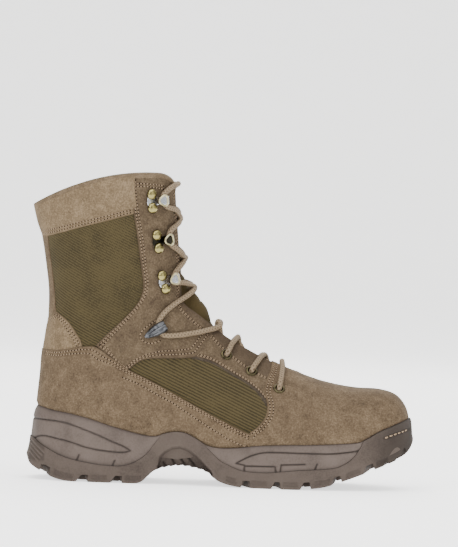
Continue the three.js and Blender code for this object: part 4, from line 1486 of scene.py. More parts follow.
    def collar_band(self) -> Panel:
        """Padded band round the top of the shaft.

        Returns:
            The panel.
        """
        low = side_line((82.5, 210.2), (79.4, 209.3), (68.6, 206.2), (53.1, 201.7), (37.6, 197.3),
                        (22.2, 192.5), (12.4, 189.6), (8.6, 188.4), count=320)
        low[-1, 1] = 0
        low = even_steps(low, 80)
        near = np.concatenate([low, ahead(low)[::-1][1:], ahead(low)[:1]])
        front = side_line((82.5, 210.2), (80.5, 219), (79, 229), (78.8, 239))
        top = turn_line([front[-1, 0], 26.85, 26.9, 26.85, front[-1, 0]],
                        [front[-1, 1], front[-1, 1] / 2, 0, -front[-1, 1] / 2, -front[-1, 1]])
        return Panel(
            "collar_band", near=near, far=top, start=front, end=ahead(front),
            height=self.low_suede, cut=(Edge.NEAR,), sewn=(Edge.NEAR,), spacing=2.0, crown=1.5)

    def lower_eyestay(self) -> Panel:
        """Suede beside the lower eyelets, between the quarter and the vamp.

        Returns:
            The panel.
        """
        back = side_line((129.3, 100), (133, 106), (138, 113), (142, 119))
        u_low, u_high = 13.1, 9.2
        back[-1] = throat_line(u_low, u_low)[0]
        front = side_line((190.8, 64), (191.5, 70), (191.5, 78), (193.5, 84))
        front[-1] = throat_line(u_high, u_high)[0]
        return Panel(
            "lower_eyestay",
            near=side_line((129.3, 100), (133, 99.6), (144.1, 96.8), (154.4, 91.7), (163.2, 86.9),
                           (171.1, 82.5), (178.3, 77.6), (184, 72.4), (190.8, 64)),
            far=throat_line(u_low, u_high), start=back, end=front,
            height=self.low_suede, cut=(Edge.NEAR, Edge.FAR), sewn=(Edge.NEAR, Edge.FAR),
            spacing=1.8)

    def quarter(self) -> Panel:
        """Suede of the ankle and the upper eyestay, up to the collar.

        Returns:
            The panel.
        """
        rear = side_line((53.2, 106.1), (61.5, 115), (69.8, 123.1), (80.4, 134.4), (86.3, 143.2),
                         (88.4, 150.3), (88.1, 158.1), (86.2, 169.7), (84.2, 182.9), (81.7, 197.6),
                         (79.4, 209.3), (76.9, 224), (76, 238.5))
        u_low = 13.0
        throat = throat_line(u_low, 26.15)
        low = np.concatenate([
            side_line((53.2, 106.1), (60, 101.5), (67, 96.7), (74, 92), (80, 88.3), count=40),
            side_line((80.6, 88.9), (86.4, 94), (94.1, 97), (107.4, 97.8), (119, 98.2),
                      (127, 98.9), (131.5, 99.8), count=75),
            side_line((132.6, 100.4), (136, 105.1), (139.7, 110.7), (143.6, 116.4), count=45)])
        low[-1] = throat[0]
        v_top = np.linspace(rear[-1, 1], throat[-1, 1], 160)
        top = np.stack([collar_line(v_top) - 0.16, v_top], axis=-1)
        top[-1], rear[-1] = throat[-1], top[0]
        return Panel(
            "quarter", near=low, far=top, start=rear, end=throat, height=self.high_suede,
            cut=(Edge.NEAR, Edge.START, Edge.END), sewn=(Edge.NEAR, Edge.START, Edge.END),
            spacing=2.2, fade=3.0)

    def vamp(self) -> Panel:
        """Suede over the toes, back to the eyestay, in one from side to side.

        Returns:
            The panel.
        """
        seam = side_line((166.5, 26), (168.2, 30.5), (174.1, 41.6), (180.2, 46.5), (186.5, 54.5),
                         (188.2, 61.6), (187.2, 68.6), (185.2, 75.5), (186.9, 83.4), (189.6, 90.5))
        u_corner = 9.9
        edge = throat_line(u_corner, THROAT_TOE)
        u_side = np.concatenate([[seam[0, 0]], seam[:, 0], edge[:, 0], [THROAT_TOE]])
        v_side = np.concatenate([[0], seam[:, 1], edge[:, 1], [1]])
        v = np.linspace(0, 2, 801)
        rear = np.interp(np.minimum(v, 2 - v), v_side, u_side)
        toe = 0.4
        return Panel(
            "vamp", near=np.stack([np.full(801, toe), v], axis=-1),
            far=np.stack([rear, v], axis=-1), start=turn_line([toe, rear[0]], [0, 0], 801),
            end=turn_line([toe, rear[0]], [2, 2], 801), height=self.high_suede,
            cut=(Edge.FAR,), sewn=(Edge.FAR,), spacing=2.1)

    def counter(self) -> Panel:
        """Suede round the heel and along the side, under the vamp at its front.

        Returns:
            The panel.
        """
        top = side_line((11.6, 101.2), (25.3, 101.3), (34.6, 103.2), (44.7, 105.1), (53.3, 105),
                        (66, 97.2), (79.6, 88.3), (96.2, 80.5), (120.9, 67.9), (139.9, 58),
                        (155.8, 50.3), (167.7, 45), (178, 40.5))
        top[0, 1] = 0
        return Panel(
            "counter", near=turn_line([HEEL_CLOSED, 9.7], [0, 0]), far=top,
            start=turn_line([HEEL_CLOSED, top[0, 0]], [0, 0]),
            end=turn_line([9.7, top[-1, 0]], [0, top[-1, 1]]),
            height=self.counter_height, cut=(Edge.FAR,), sewn=(Edge.FAR,), spacing=2.2)

    def lock_row(self) -> Array:
        """The bent row of stitches round the tail of the lace lock."""
        return side_line((99.5, 127), (93.5, 122.8), (89.2, 119), (87.4, 115.4), (88.8, 111.8),
                         (93, 109.3), (98, 109.3), (103, 111.2))

    def lining(self, wardrobe: Wardrobe) -> Piece:
        """Mesh lining: the form, moved in, with the throat left open and the wall made inwards.

        Args:
            wardrobe: the boot's finishes.

        Returns:
            The piece.
        """
        front_rows = np.linspace(0.3, THROAT_TOE, 34)
        rear_rows = np.concatenate([[THROAT_TOE], np.linspace(8.9, 9.4, 4),
                                    np.linspace(9.7, 26.9, 62)])
        side_turn = FORM.throat_turn(rear_rows)
        share = np.linspace(0, 1, 34)
        first = side_turn[0]
        mid = np.linspace(first, 2 - first, 9)[1:-1]
        turns = np.concatenate([share * first, mid, 2 - share[::-1] * first])
        parts = [sheet_shape(FORM.offset(front_rows[:, None], turns[None, :], LINING_OUT))]
        for side in Side:
            v = share[None, :] * side_turn[:, None]
            top = collar_line(v) - COLLAR
            u = rear_rows[:, None] + top * soft_step((rear_rows[:, None] - 24) / (26.9 - 24))
            parts.append(sheet_shape(FORM.offset(u, side.turn(v), LINING_OUT)).facing(side))
        piece = make_piece("upper_lining", joined_shapes(parts), wardrobe.lining, "upper", "suede")
        wall = piece.modifiers.new("wall", "SOLIDIFY")
        wall.thickness = (self.wall + LINING_OUT) / 1000
        wall.offset = -1
        return piece

    def stitching(self, panels: Sequence[SewnPanel], wardrobe: Wardrobe) -> list[Piece]:
        """Two rows of stitches along each sewn edge, and the needle holes between them.

        Two more rows hold the collar's padding, one goes round the foot of each lock and one
        holds the stiffener under each counter.

        Args:
            panels: the upper's panels.
            wardrobe: the boot's finishes.

        Returns:
            The thread and the needle holes.
        """
        rows = [sewn.panel.row(edge, inset, side=side) for sewn in panels for side in sewn.sides
                for edge in sewn.panel.sewn for inset in STITCH_INSETS]
        u, v = self.lock_row().T
        quarter, counter = self.quarter(), self.counter()
        for side in Side:
            rows += [quarter.row(Edge.FAR, inset, 0.03, 0.6, side) for inset in self.collar_insets]
            rows.append(on_form(u, side.turn(v), self.high_suede + 0.2))
            rows.append(counter.row(Edge.FAR, self.counter_inset, 0.4, 0.97, side))
        thread = joined_shapes([STITCHES.along(row) for row in rows])
        holes = joined_shapes([STITCHES.holes(row) for row in rows])
        return [make_piece("upper_stitching", thread, wardrobe.thread, "upper", "suede"),
                make_piece("needle_holes", holes, wardrobe.needle_hole, "upper", "suede")]


# ---------------------------------------------------------------- the sole
# Outlines and lines of the sole, in mm. Those of its side are given as x and z.
OUTLINE_ROWS = (
    (0.8, 0, 0), (3.6, 18, 18), (10.5, 30.5, 31), (22, 38.5, 39), (40, 42.8, 42.5), (60, 43.8, 43),
    (82, 43, 41), (101, 42.3, 37.8), (120, 44.5, 35), (138, 46.5, 35), (156, 48.5, 39.5),
    (175, 51.3, 44.8), (194, 53.6, 50.3), (212, 54, 54), (230, 52.2, 55), (246, 49, 53),
    (262, 44.3, 48.5), (277, 37, 41), (289, 27.5, 31), (298, 16.5, 18.8), (302.6, 8, 9.2),
    (304, 0, 0))  # x, lateral half-width, medial half-width of the tread
TREAD_ROWS = (
    (0.8, 18.5), (4, 12.5), (12, 7.6), (20, 3.8), (28, 1.2), (38, 0), (86, 0), (92, 1.5), (97, 6),
    (102, 10.6), (110, 13.4), (122, 15.2), (134, 13.8), (143, 11), (148, 7), (154, 3.6),
    (163, 1.2), (174, 0), (212, 0), (224, 1), (236, 3), (250, 7.8), (264, 13), (276, 18),
    (288, 23), (296, 27.4), (301, 32.5), (303.4, 37.5), (304, 40))  # x and z of the lugs' feet
HEEL_FOAM = ((-6, 34), (5, 32), (12, 27.5), (20, 23.2), (28, 19.6), (38, 16.6), (48, 14.8),
             (60, 13.2), (75, 12.8), (83, 14.7), (90.5, 18.6), (96, 23.4), (100, 29), (103.5, 34),
             (106, 39), (107, 46))  # lower edge of the heel's midsole, from the side
FORE_FOAM = ((140.5, 46), (141, 32), (146.5, 25.6), (153, 19.9), (160, 16.4), (169, 13), (178, 12),
             (190, 12), (202, 13.2), (216, 14.8), (231, 15.8), (243, 17.4), (250.5, 20.8),
             (256, 25), (260, 30.5), (263, 36), (265, 46))  # lower edge of the forefoot's midsole
GROOVES = ((18, 5.5), (46, 7.5), (72.5, 7.5), (171.5, 5.5), (196, 6), (220.5, 6.5), (245, 6),
           (268.5, 6), (289.5, 5.5))  # x and width of the grooves between the side lugs
# Leaf-shaped recesses: both tips' x, half-width, and the bars across as x and half-length.
LEAVES = ((148, 284, 22, ((174, 11), (193, 16), (212, 18), (232, 18.5), (253, 17), (271, 11))),
          (27, 108, 19, ((41, 12.5), (59, 15), (77, 13), (94, 8))))
# The hollow under the arch seen from the side, the fins in it and the ridges at the heel's back.
ARCH_LINE = ((104, 12), (106, 22.9), (109.8, 26.9), (115.2, 30.2), (121.4, 31.2), (127.7, 29.1),
             (133.3, 25.4), (140.5, 18.6), (147, 11.8))
ARCH_FINS = (((108.6, 17), (111.1, 12)), ((114, 22.4), (118.8, 13)), ((119.8, 24.4), (126.6, 14)),
             ((126.6, 23.6), (135.2, 13)))
HEEL_RIDGES = (((5.1, 30.4), (15.6, 21.3)), ((4.4, 27.6), (14.1, 18.9)), ((3.7, 24.7), (12.6, 16.6)),
               ((3.6, 21.7), (11.1, 14.2)))
# Grooves pressed into the foam: the long ones outline its leaves, the short ones cross them.
HEEL_GROOVES = (
    ((-6, 46.8), (6.1, 46.8), (27.2, 45.9), (36.6, 43.9), (46.9, 40.4), (58.8, 36.1), (69.1, 31.8),
     (78.5, 28.2), (83, 25.4)),
    ((7, 31), (10, 33.2), (14.6, 34.2), (21.4, 33.3), (35.5, 30.6), (47.4, 27.1), (59.1, 25),
     (70.9, 23.9), (78.7, 24), (83, 25.4)),
    ((41.3, 16), (43, 20.6)), ((69.3, 13), (71.2, 17.4)))
FORE_GROOVES = (
    ((165.5, 18.7), (172.4, 22.8), (180.1, 26.2), (187.8, 28), (199.5, 28.4), (215.1, 28.4),
     (238.5, 28.6), (250.2, 29.8), (260.3, 31.3)),
    ((165.5, 18.7), (171.5, 17.6)), ((172, 17.6), (172, 13.4)), ((172, 16.9), (195.6, 17.4)),
    ((195.6, 17.4), (197, 12)), ((200.6, 18.9), (219, 20)), ((200.6, 18.9), (200, 14)),
    ((226.6, 15.4), (228.4, 20.4)))
BUMPER_LINE = ((280.5, 41.6), (290, 45), (300, 48.2))  # seam along the toe bumper
INNER_FLOOR = ((0, 27), (20, 26), (98, 23), (171, 16), (230, 18), (290, 30),
               (304, 31))  # x and z of the floor that the footbed lies on
LUG_DEPTH = 5.5
TREAD_CLEAR = 6.2  # mm over the lugs' feet at which hidden faces clear the deepest groove
LEAF_DEPTH = 4.5
BAR_LENGTH = 10.0
LUG_EDGE = 43.0  # mm from the centre line, where the places of the grooves are given
FAN = 0.0055  # radians that a groove slants, for each mm from the middle of its tread
GROOVE_CURVE = 0.0022  # mm that a groove bends, for each mm squared in from the lugs' edge
HEEL_MIDDLE, ARCH_MIDDLE, FORE_MIDDLE = 50.0, 120.0, 217.0  # x
TREAD = TableCurve(*zip(*TREAD_ROWS))


def tread_height(x: Array) -> Array:
    """Height of the lugs' feet off the floor."""
    return np.maximum(0, TREAD(x))


def toe_shade(x: Array) -> Array:
    """Painted shade towards the toe bumper's tip, where it curves away from the light."""
    return 0.75 * soft_step((x - 262) / 28)


class SoleForm:
    """The sole's outer side: a line along the tread and one along the rim, with a lean between."""

    stations = 410
    rim_thick = 2.3

    def __init__(self) -> None:
        """Works out both lines on both sides, at even shares of their plan length."""
        self.lean = TableCurve([0, 0.2, 0.5, 0.85, 1], [0, 0.28, 0.45, 0.68, 1])
        self.foot = {side: self.steps(self.outline(side)) for side in Side}
        self.rim = {side: self.steps(self.rim_line(side)) for side in Side}
        self.out = {side: self.plan_normals((self.foot[side] + self.rim[side]) / 2, side)
                    for side in Side}
        self.foam = [smooth_line(line, 500) for line in (HEEL_FOAM, FORE_FOAM)]

    def steps(self, line: Array) -> Array:
        """The line at the sole's stations, by its length in plan.

        Args:
            line: array (n, 3).

        Returns:
            Array (stations, 3).
        """
        line = even_steps(line, self.stations, axes=2)
        line[[0, -1], 1] = 0
        return line

    def outline(self, side: Side) -> Array:
        """The tread's outline on one side, from heel to toe.

        Args:
            side: side of the boot.

        Returns:
            Array (n, 3).
        """
        rows = np.asarray(OUTLINE_ROWS, float)
        at = np.linspace(0, len(rows) - 1, 600)
        keys = np.arange(len(rows))
        half = np.maximum(0, TableCurve(keys, rows[:, 1 if side is Side.LATERAL else 2])(at))
        x = TableCurve(keys, rows[:, 0])(at)
        return np.stack([x, side.value * half, np.zeros(600)], axis=-1)

    def plan_normals(self, line: Array, side: Side) -> Array:
        """Outward normals of a line in plan; straight back at the heel and ahead at the toe.

        Args:
            line: array (n, 3).
            side: side of the boot.

        Returns:
            Array (n, 3).
        """
        step = np.gradient(line, axis=0)
        normal = unit(np.stack([-step[:, 1], step[:, 0], np.zeros(len(line))], axis=-1))
        normal = normal * side.value
        normal[0], normal[-1] = (-1, 0, 0), (1, 0, 0)
        return normal

    def rim_line(self, side: Side) -> Array:
        """Where the rim's height meets the form, moved out by the rim's thickness.

        Args:
            side: side of the boot.

        Returns:
            Array (n, 3).
        """
        u = np.linspace(19.8, 1.85, 220)
        t = np.linspace(0, 1, 400)
        points = FORM.point(u[:, None], side.turn(t))
        above = points[..., 2] - RIM_LINE(points[..., 0])
        over = np.maximum(np.argmax(above > 0, axis=1), 1)
        rows = np.arange(len(u))
        low, high = above[rows, over - 1], above[rows, over]
        share = np.clip(-low / np.maximum(high - low, 1e-6), 0, 1)[:, None]
        line = points[rows, over - 1] * (1 - share) + points[rows, over] * share
        return line + self.plan_normals(line, side) * self.rim_thick

    def side_point(self, side: Side, height: Array, inset: Array | float = 0.0) -> Array:
        """Points of the sole's side.

        Args:
            side: side of the boot.
            height: shares from tread (0) to rim (1), (stations, k).
            inset: distance moved in, in mm.

        Returns:
            Array (stations, k, 3).
        """
        foot, rim = self.foot[side][:, None], self.rim[side][:, None]
        lean = self.lean(height)[..., None]
        point = foot * (1 - lean) + rim * lean
        low = tread_height(foot[..., 0])
        point[..., 2] = low + height * (RIM_LINE(rim[..., 0]) - low)
        return point - self.out[side][:, None] * np.asarray(inset)[..., None]

    def foam_share(self, side: Side, line: Array) -> Array:
        """Share of the side's height where a midsole's lower edge crosses it; 1 where it doesn't.

        Args:
            side: side of the boot.
            line: the midsole's lower edge, as x and z.

        Returns:
            Shares, (stations,).
        """
        share = np.linspace(0, 1, 300)
        points = self.side_point(side, np.broadcast_to(share, (self.stations, 300)))
        x = points[..., 0]
        floor = np.interp(x, line[:, 0], line[:, 1])
        floor = np.where((x < line[0, 0]) | (x > line[-1, 0]), 99, floor)
        above = points[..., 2] > floor
        first = np.argmax(above, axis=1)
        return np.where(above.any(axis=1), share[first], 1.0)


def lines_distance(points: Array, lines: Sequence[Places]) -> Array:
    """Least distance in the side view, x and z, from points to several lines."""
    flat = points[..., [0, 2]]
    return np.min([line_distance(flat, smooth_line(line, 24) if len(line) > 2 else
                                 np.asarray(line, float)) for line in lines], axis=0)


def trough(points: Array, lines: Sequence[Places], width: float) -> Array:
    """Share of a groove's depth at points: a Gaussian of the distance to the nearest line."""
    return np.exp(-((lines_distance(points, lines) / width) ** 2))


@dataclass
class Outsole(Assembly):
    """Lugged rubber outsole with leaf-shaped recesses, an arch bridge and a toe bumper."""

    form: SoleForm
    across: int = 128  # points across the tread
    side_rows: int = 34  # points up the side
    slope: float = 0.9  # mm over which the walls of the tread's details rise
    sipe_depth: float = 2.2
    channel_depth: float = 3.4  # of the channel round each leaf
    wave_depth: float = 1.8  # of the wavy line across the heel
    fan_depth: float = 1.8  # between the ridges at the toe's tip
    arch_depth: float = 0.9  # of the seam and the ribs under the arch
    plate: tuple[float, float, float] = (132.0, 11.0, 50.0)  # x, y and degrees of the oval plate
    plate_half: tuple[float, float] = (12.0, 5.5)  # its half-axes
    hollow_depth: float = 3.6  # of the arch, from the side

    def build(self, wardrobe: Wardrobe) -> list[Piece]:
        """Makes the outsole and the stitches of its toe bumper."""
        tread, tones = self.tread()
        walls, shades, ledges = {}, {}, {}
        for side, column in ((Side.LATERAL, 0), (Side.MEDIAL, -1)):
            walls[side], shades[side] = self.side(side, tread[:, column])
            ledges[side] = self.ledge(side, walls[side])
            tread[:, column] = walls[side][:, 0]
        share = np.linspace(1, 0, 8)[1:-1, None]
        lid = ledges[Side.MEDIAL][:, -1:] * share + ledges[Side.LATERAL][:, -1:] * (1 - share)
        hidden = np.concatenate([ledges[Side.MEDIAL], lid, ledges[Side.LATERAL][:, ::-1]], axis=1)
        loop = np.concatenate([tread, walls[Side.MEDIAL][:, 1:], hidden,
                               walls[Side.LATERAL][:, :0:-1]], axis=1)
        tone = np.concatenate([tones, shades[Side.MEDIAL][:, 1:], np.zeros(hidden.shape[:2]),
                               shades[Side.LATERAL][:, :0:-1]], axis=1)
        outsole = make_piece("rubber_outsole", sheet_shape(loop, closed=True, tone=tone),
                             wardrobe.outsole, "outsole", "outsole_rubber", 32)
        return [outsole, self.toe_stitches(wardrobe)]

    def leaf_width(self, x: Array) -> Array:
        """Half-width of the leaf-shaped recess at x: full at its middle, 0 at its tips.

        Args:
            x: places along the boot.

        Returns:
            Half-widths in mm, below 0 outside the leaves.
        """
        width = np.full(x.shape, -50.0)
        for start, end, half, _ in LEAVES:
            middle = (start + end) / 2
            share = np.abs((x - middle) / (end - middle))
            width = np.where(share < 1, half * (1 - share**2.2), width)
        return width

    def groove_off(self, x: Array, y: Array, at: float) -> Array:
        """Distance ahead of a groove that fans out from the middle of its tread and curves on.

        Args:
            x: places along the boot.
            y: places across it.
            at: the groove's place at the tread's edge.

        Returns:
            Distances in mm, below 0 behind the groove.
        """
        hand = np.where(y < 0, -1, 1)
        turn = hand * (at - (HEEL_MIDDLE if at < ARCH_MIDDLE else FORE_MIDDLE)) * FAN
        off = (x - at) * np.cos(turn) + (y - hand * LUG_EDGE) * np.sin(turn)
        return off + GROOVE_CURVE * (np.abs(y) - LUG_EDGE) ** 2

    def groove(self, x: Array, y: Array) -> Array:
        """How far a place lies in a groove between lugs, 0 to 1: the walls slope in."""
        walls = [(0.62 * width - np.abs(self.groove_off(x, y, at))) / (0.26 * width)
                 for at, width in GROOVES]
        return np.clip(np.max(walls, axis=0), 0, 1)

    def sipe(self, x: Array, y: Array, leaf: Array) -> Array:
        """Thin slits in the middle of the side lugs, from near the edge up to the leaf.

        Args:
            x: places along the boot.
            y: places across it.
            leaf: the leaf's half-width there.

        Returns:
            Shares of a slit's depth, 0 to 1.
        """
        inside = (np.abs(y) > np.maximum(leaf + 11, 24)) & (np.abs(y) < 41)
        places = [at for at, _ in GROOVES]
        slits = [1.6 - np.abs(self.groove_off(x, y, (before + after) / 2))
                 for before, after in zip(places, places[1:]) if after - before <= 40]
        return np.where(inside, np.clip(np.max(slits, axis=0), 0, 1), 0)

    def relief(self, x: Array, y: Array) -> Array:
        """How far the tread lies above the lugs' feet, in mm, at places in plan.

        Args:
            x: places along the boot.
            y: places across it.

        Returns:
            Heights in mm.
        """
        leaf = self.leaf_width(x)
        beyond = np.abs(y) - leaf
        in_leaf = leaf > 0
        lugs = LUG_DEPTH * self.groove(x, y) * soft_step((np.abs(y) - 15) / 3)
        lugs = np.maximum(lugs, self.sipe_depth * self.sipe(x, y, leaf))
        channel = self.channel_depth * np.clip((4.4 - beyond) / self.slope, 0, 1)
        channel = channel * np.clip((beyond - 1.2) / 0.7, 0, 1)
        lugs = np.maximum(lugs, np.where(in_leaf, channel, 0))
        floor = LEAF_DEPTH * np.clip((-0.6 - beyond) / self.slope, 0, 1)
        for _, _, _, bars in LEAVES:
            for at, half in bars:
                off = np.abs(x - at - 0.016 * y**2 + 1.5)
                bar = np.clip((BAR_LENGTH / 2 - off) / self.slope, 0, 1)
                bar = bar * np.clip((half - np.abs(y)) / self.slope, 0, 1)
                tick = np.clip(1.3 - np.abs(y), 0, 1) * np.clip((x - at - 1) / 0.8, 0, 1)
                floor = floor * (1 - bar * (1 - 0.6 * tick))
        relief = np.where(in_leaf & (beyond < 0), floor, lugs)
        relief = relief + self.arch_relief(x, y) + self.toe_relief(x, y)
        wave = np.clip(1.6 - np.abs(x - 20 - 1.2 * np.sin(y / 2.2) + 0.006 * y**2), 0, 1)
        return relief + np.where((np.abs(y) < 30) & (x < 30), self.wave_depth * wave, 0)

    def arch_relief(self, x: Array, y: Array) -> Array:
        """Shallow detail under the arch: a slanting seam, a bare oval plate and side ribs.

        Args:
            x: places along the boot.
            y: places across it.

        Returns:
            Heights in mm.
        """
        inside = soft_step((x - 104) / 4) * soft_step((150 - x) / 4)
        slant = np.abs((x - 128) * 0.62 - (y + 2) * 0.78)
        seam = self.arch_depth * np.clip(1.4 - slant, 0, 1)
        at_x, at_y, degrees = self.plate
        turn = math.radians(degrees)
        px, py = x - at_x, y - at_y
        along = px * math.cos(turn) + py * math.sin(turn)
        aside = py * math.cos(turn) - px * math.sin(turn)
        long, short = self.plate_half
        ring = np.abs(np.sqrt((along / long) ** 2 + (aside / short) ** 2) - 1) * short
        oval = 0.7 * np.clip(1.3 - ring, 0, 1)
        wave = 0.5 + 0.5 * np.cos((x + 0.3 * np.abs(y)) * 1.15)
        ribs = self.arch_depth * soft_step((np.abs(y) - 20) / 5) * wave
        return inside * (np.maximum(seam, oval) + ribs)

    def toe_relief(self, x: Array, y: Array) -> Array:
        """Short ridges that fan out at the tip of the toe.

        Args:
            x: places along the boot.
            y: places across it.

        Returns:
            Heights in mm.
        """
        angle = np.arctan2(y, x - 258)
        ridge = np.clip(1.4 * np.cos(angle * 17) - 0.1, 0, 1)
        band = soft_step((x - 283) / 2) * soft_step((297 - x) / 3) * (np.abs(angle) < 0.75)
        return self.fan_depth * band * (1 - ridge)

    def tread(self) -> tuple[Array, Array]:
        """The underside: straight across between the outlines, with the relief added in height.

        Returns:
            Points (stations, across, 3) and their tone: dust and painted shade in the grooves, painted
            shade at the toe.
        """
        share = np.linspace(0, 1, self.across)[None, :, None]
        points = (self.form.foot[Side.LATERAL][:, None] * (1 - share)
                  + self.form.foot[Side.MEDIAL][:, None] * share)
        relief = self.relief(points[..., 0], points[..., 1])
        points[..., 2] = tread_height(points[..., 0]) + relief
        # Deeper places are darker, from dust and painted shade, and the toe adds painted shade.
        return points, np.clip(relief / LUG_DEPTH + toe_shade(points[..., 0]), 0, 1)

    def side(self, side: Side, edge: Array) -> tuple[Array, Array]:
        """The side from the tread's edge up to the midsole or the rim, with its moulded detail.

        Args:
            side: side of the boot.
            edge: the tread's outer points.

        Returns:
            Points (stations, rows, 3) and their painted shade.
        """
        form = self.form
        top = np.minimum(form.foam_share(side, form.foam[0]), form.foam_share(side, form.foam[1]))
        low = tread_height(form.foot[side][:, 0])
        tall = RIM_LINE(form.rim[side][:, 0]) - low
        bottom = np.clip((edge[:, 2] - low) / tall, 0, top - 0.02)
        share = np.linspace(0, 1, self.side_rows - 2) ** 1.15
        height = bottom[:, None] + (top - bottom)[:, None] * share[None, :]
        points = form.side_point(side, height)
        inset, tone = self.moulding(points, low)
        fade = np.minimum(1, (1 - share) / 0.05) * np.minimum(1, share / 0.05)
        points = points - form.out[side][:, None] * (inset * fade)[..., None]
        rounded = form.side_point(side, top[:, None] + np.zeros((1, 2)), np.array([0.45, 0.9]))
        rounded[..., 2] += (0.3, 0.35)
        # The rounded top edge is darkened: painted shade where it meets the midsole and the upper.
        rim = np.zeros((form.stations, 2)) + (0.8, 1.0)
        return (np.concatenate([points, rounded], axis=1),
                np.concatenate([np.clip(tone, -1, 1), rim], axis=1))

    def moulding(self, points: Array, low: Array) -> tuple[Array, Array]:
        """The side's moulded detail: arch hollow and fins, heel ridges, lugs, bumper seam.

        Each is a soft trough, as a Gaussian of the distance to its line or a product of steps.

        Args:
            points: the plain side, (stations, rows, 3).
            low: height of the lugs' feet at each station.

        Returns:
            How far each point moves in, in mm, and its painted shade.
        """
        x, z = points[..., 0], points[..., 2]
        above = z - low[:, None]
        arch = np.asarray(ARCH_LINE)
        ceiling = np.interp(x, arch[:, 0], arch[:, 1], left=-9, right=-9)
        hollow = soft_step((ceiling - z) / 3.5)
        fins = trough(points, ARCH_FINS, 0.8) * hollow
        ridges = trough(points, HEEL_RIDGES, 0.55)
        patch = soft_step((x - 2) / 2) * soft_step((17 - x) / 2)
        patch *= soft_step((z - 13) / 3) * soft_step((32 - z) / 3)
        gap = np.min([np.abs(x - at) - 0.62 * width for at, width in GROOVES], axis=0)
        lug = soft_step((gap - 1.8) / 1.2) * soft_step(above - 1.2) * soft_step(6.4 - above)
        lug = lug * ((x < 92) | (x > 158)) * (x > 22) * (x < 286)
        seam = trough(points, (BUMPER_LINE,), 1.0)
        inset = self.hollow_depth * hollow + 1.3 * fins - 0.7 * ridges + 0.5 * (lug + seam)
        # Painted shade: darker in the arch hollow and its fins, on the heel's panel between the ridges,
        # in the lugs' recesses, along the bumper seam and towards the toe.
        tone = (0.45 * hollow + 0.9 * fins + np.where(ridges > 0.1, -0.4 * ridges, 0)
                + 0.5 * patch * (1 - ridges) + 0.25 * lug + 0.4 * seam + toe_shade(x))
        return inset, tone

    def ledge(self, side: Side, wall: Array) -> Array:
        """Hidden inner edge of the sole's wall: in by the rim's thickness, then down.

        Args:
            side: side of the boot.
            wall: the side's points.

        Returns:
            Array (stations, 2, 3).
        """
        form = self.form
        x = form.foot[side][:, 0]
        inner = wall[:, -1] - form.out[side] * (form.rim_thick - 0.9)
        inner[[0, -1], 1] = 0
        below = inner.copy()
        floor = np.interp(x, *zip(*INNER_FLOOR))
        below[:, 2] = np.minimum(inner[:, 2], np.maximum(floor - 2, tread_height(x) + TREAD_CLEAR))
        return np.stack([inner, below], axis=1)

    def toe_stitches(self, wardrobe: Wardrobe) -> Piece:
        """Long stitches that hold the bumper to the upper, on both sides.

        Args:
            wardrobe: the boot's finishes.

        Returns:
            The piece.
        """
        long_stitch = Stitches(pitch=4.4, length=3.4, radius=0.6)
        shapes = []
        for side in Side:
            height = np.broadcast_to(np.linspace(0.2, 1, 200), (self.form.stations, 200))
            wall = self.form.side_point(side, height)
            line = smooth_line(BUMPER_LINE, 60)
            flat = wall[..., [0, 2]].reshape(-1, 2)
            nearest = [np.argmin(((flat - p) ** 2).sum(-1)) for p in line[:-4]]
            points = wall.reshape(-1, 3)[nearest]
            out = np.repeat(self.form.out[side][:, None], 200, 1).reshape(-1, 3)[nearest]
            shapes.append(long_stitch.along((points - 0.2 * out, out)))
        return make_piece("bumper_stitching", joined_shapes(shapes), wardrobe.thread, (), "suede")


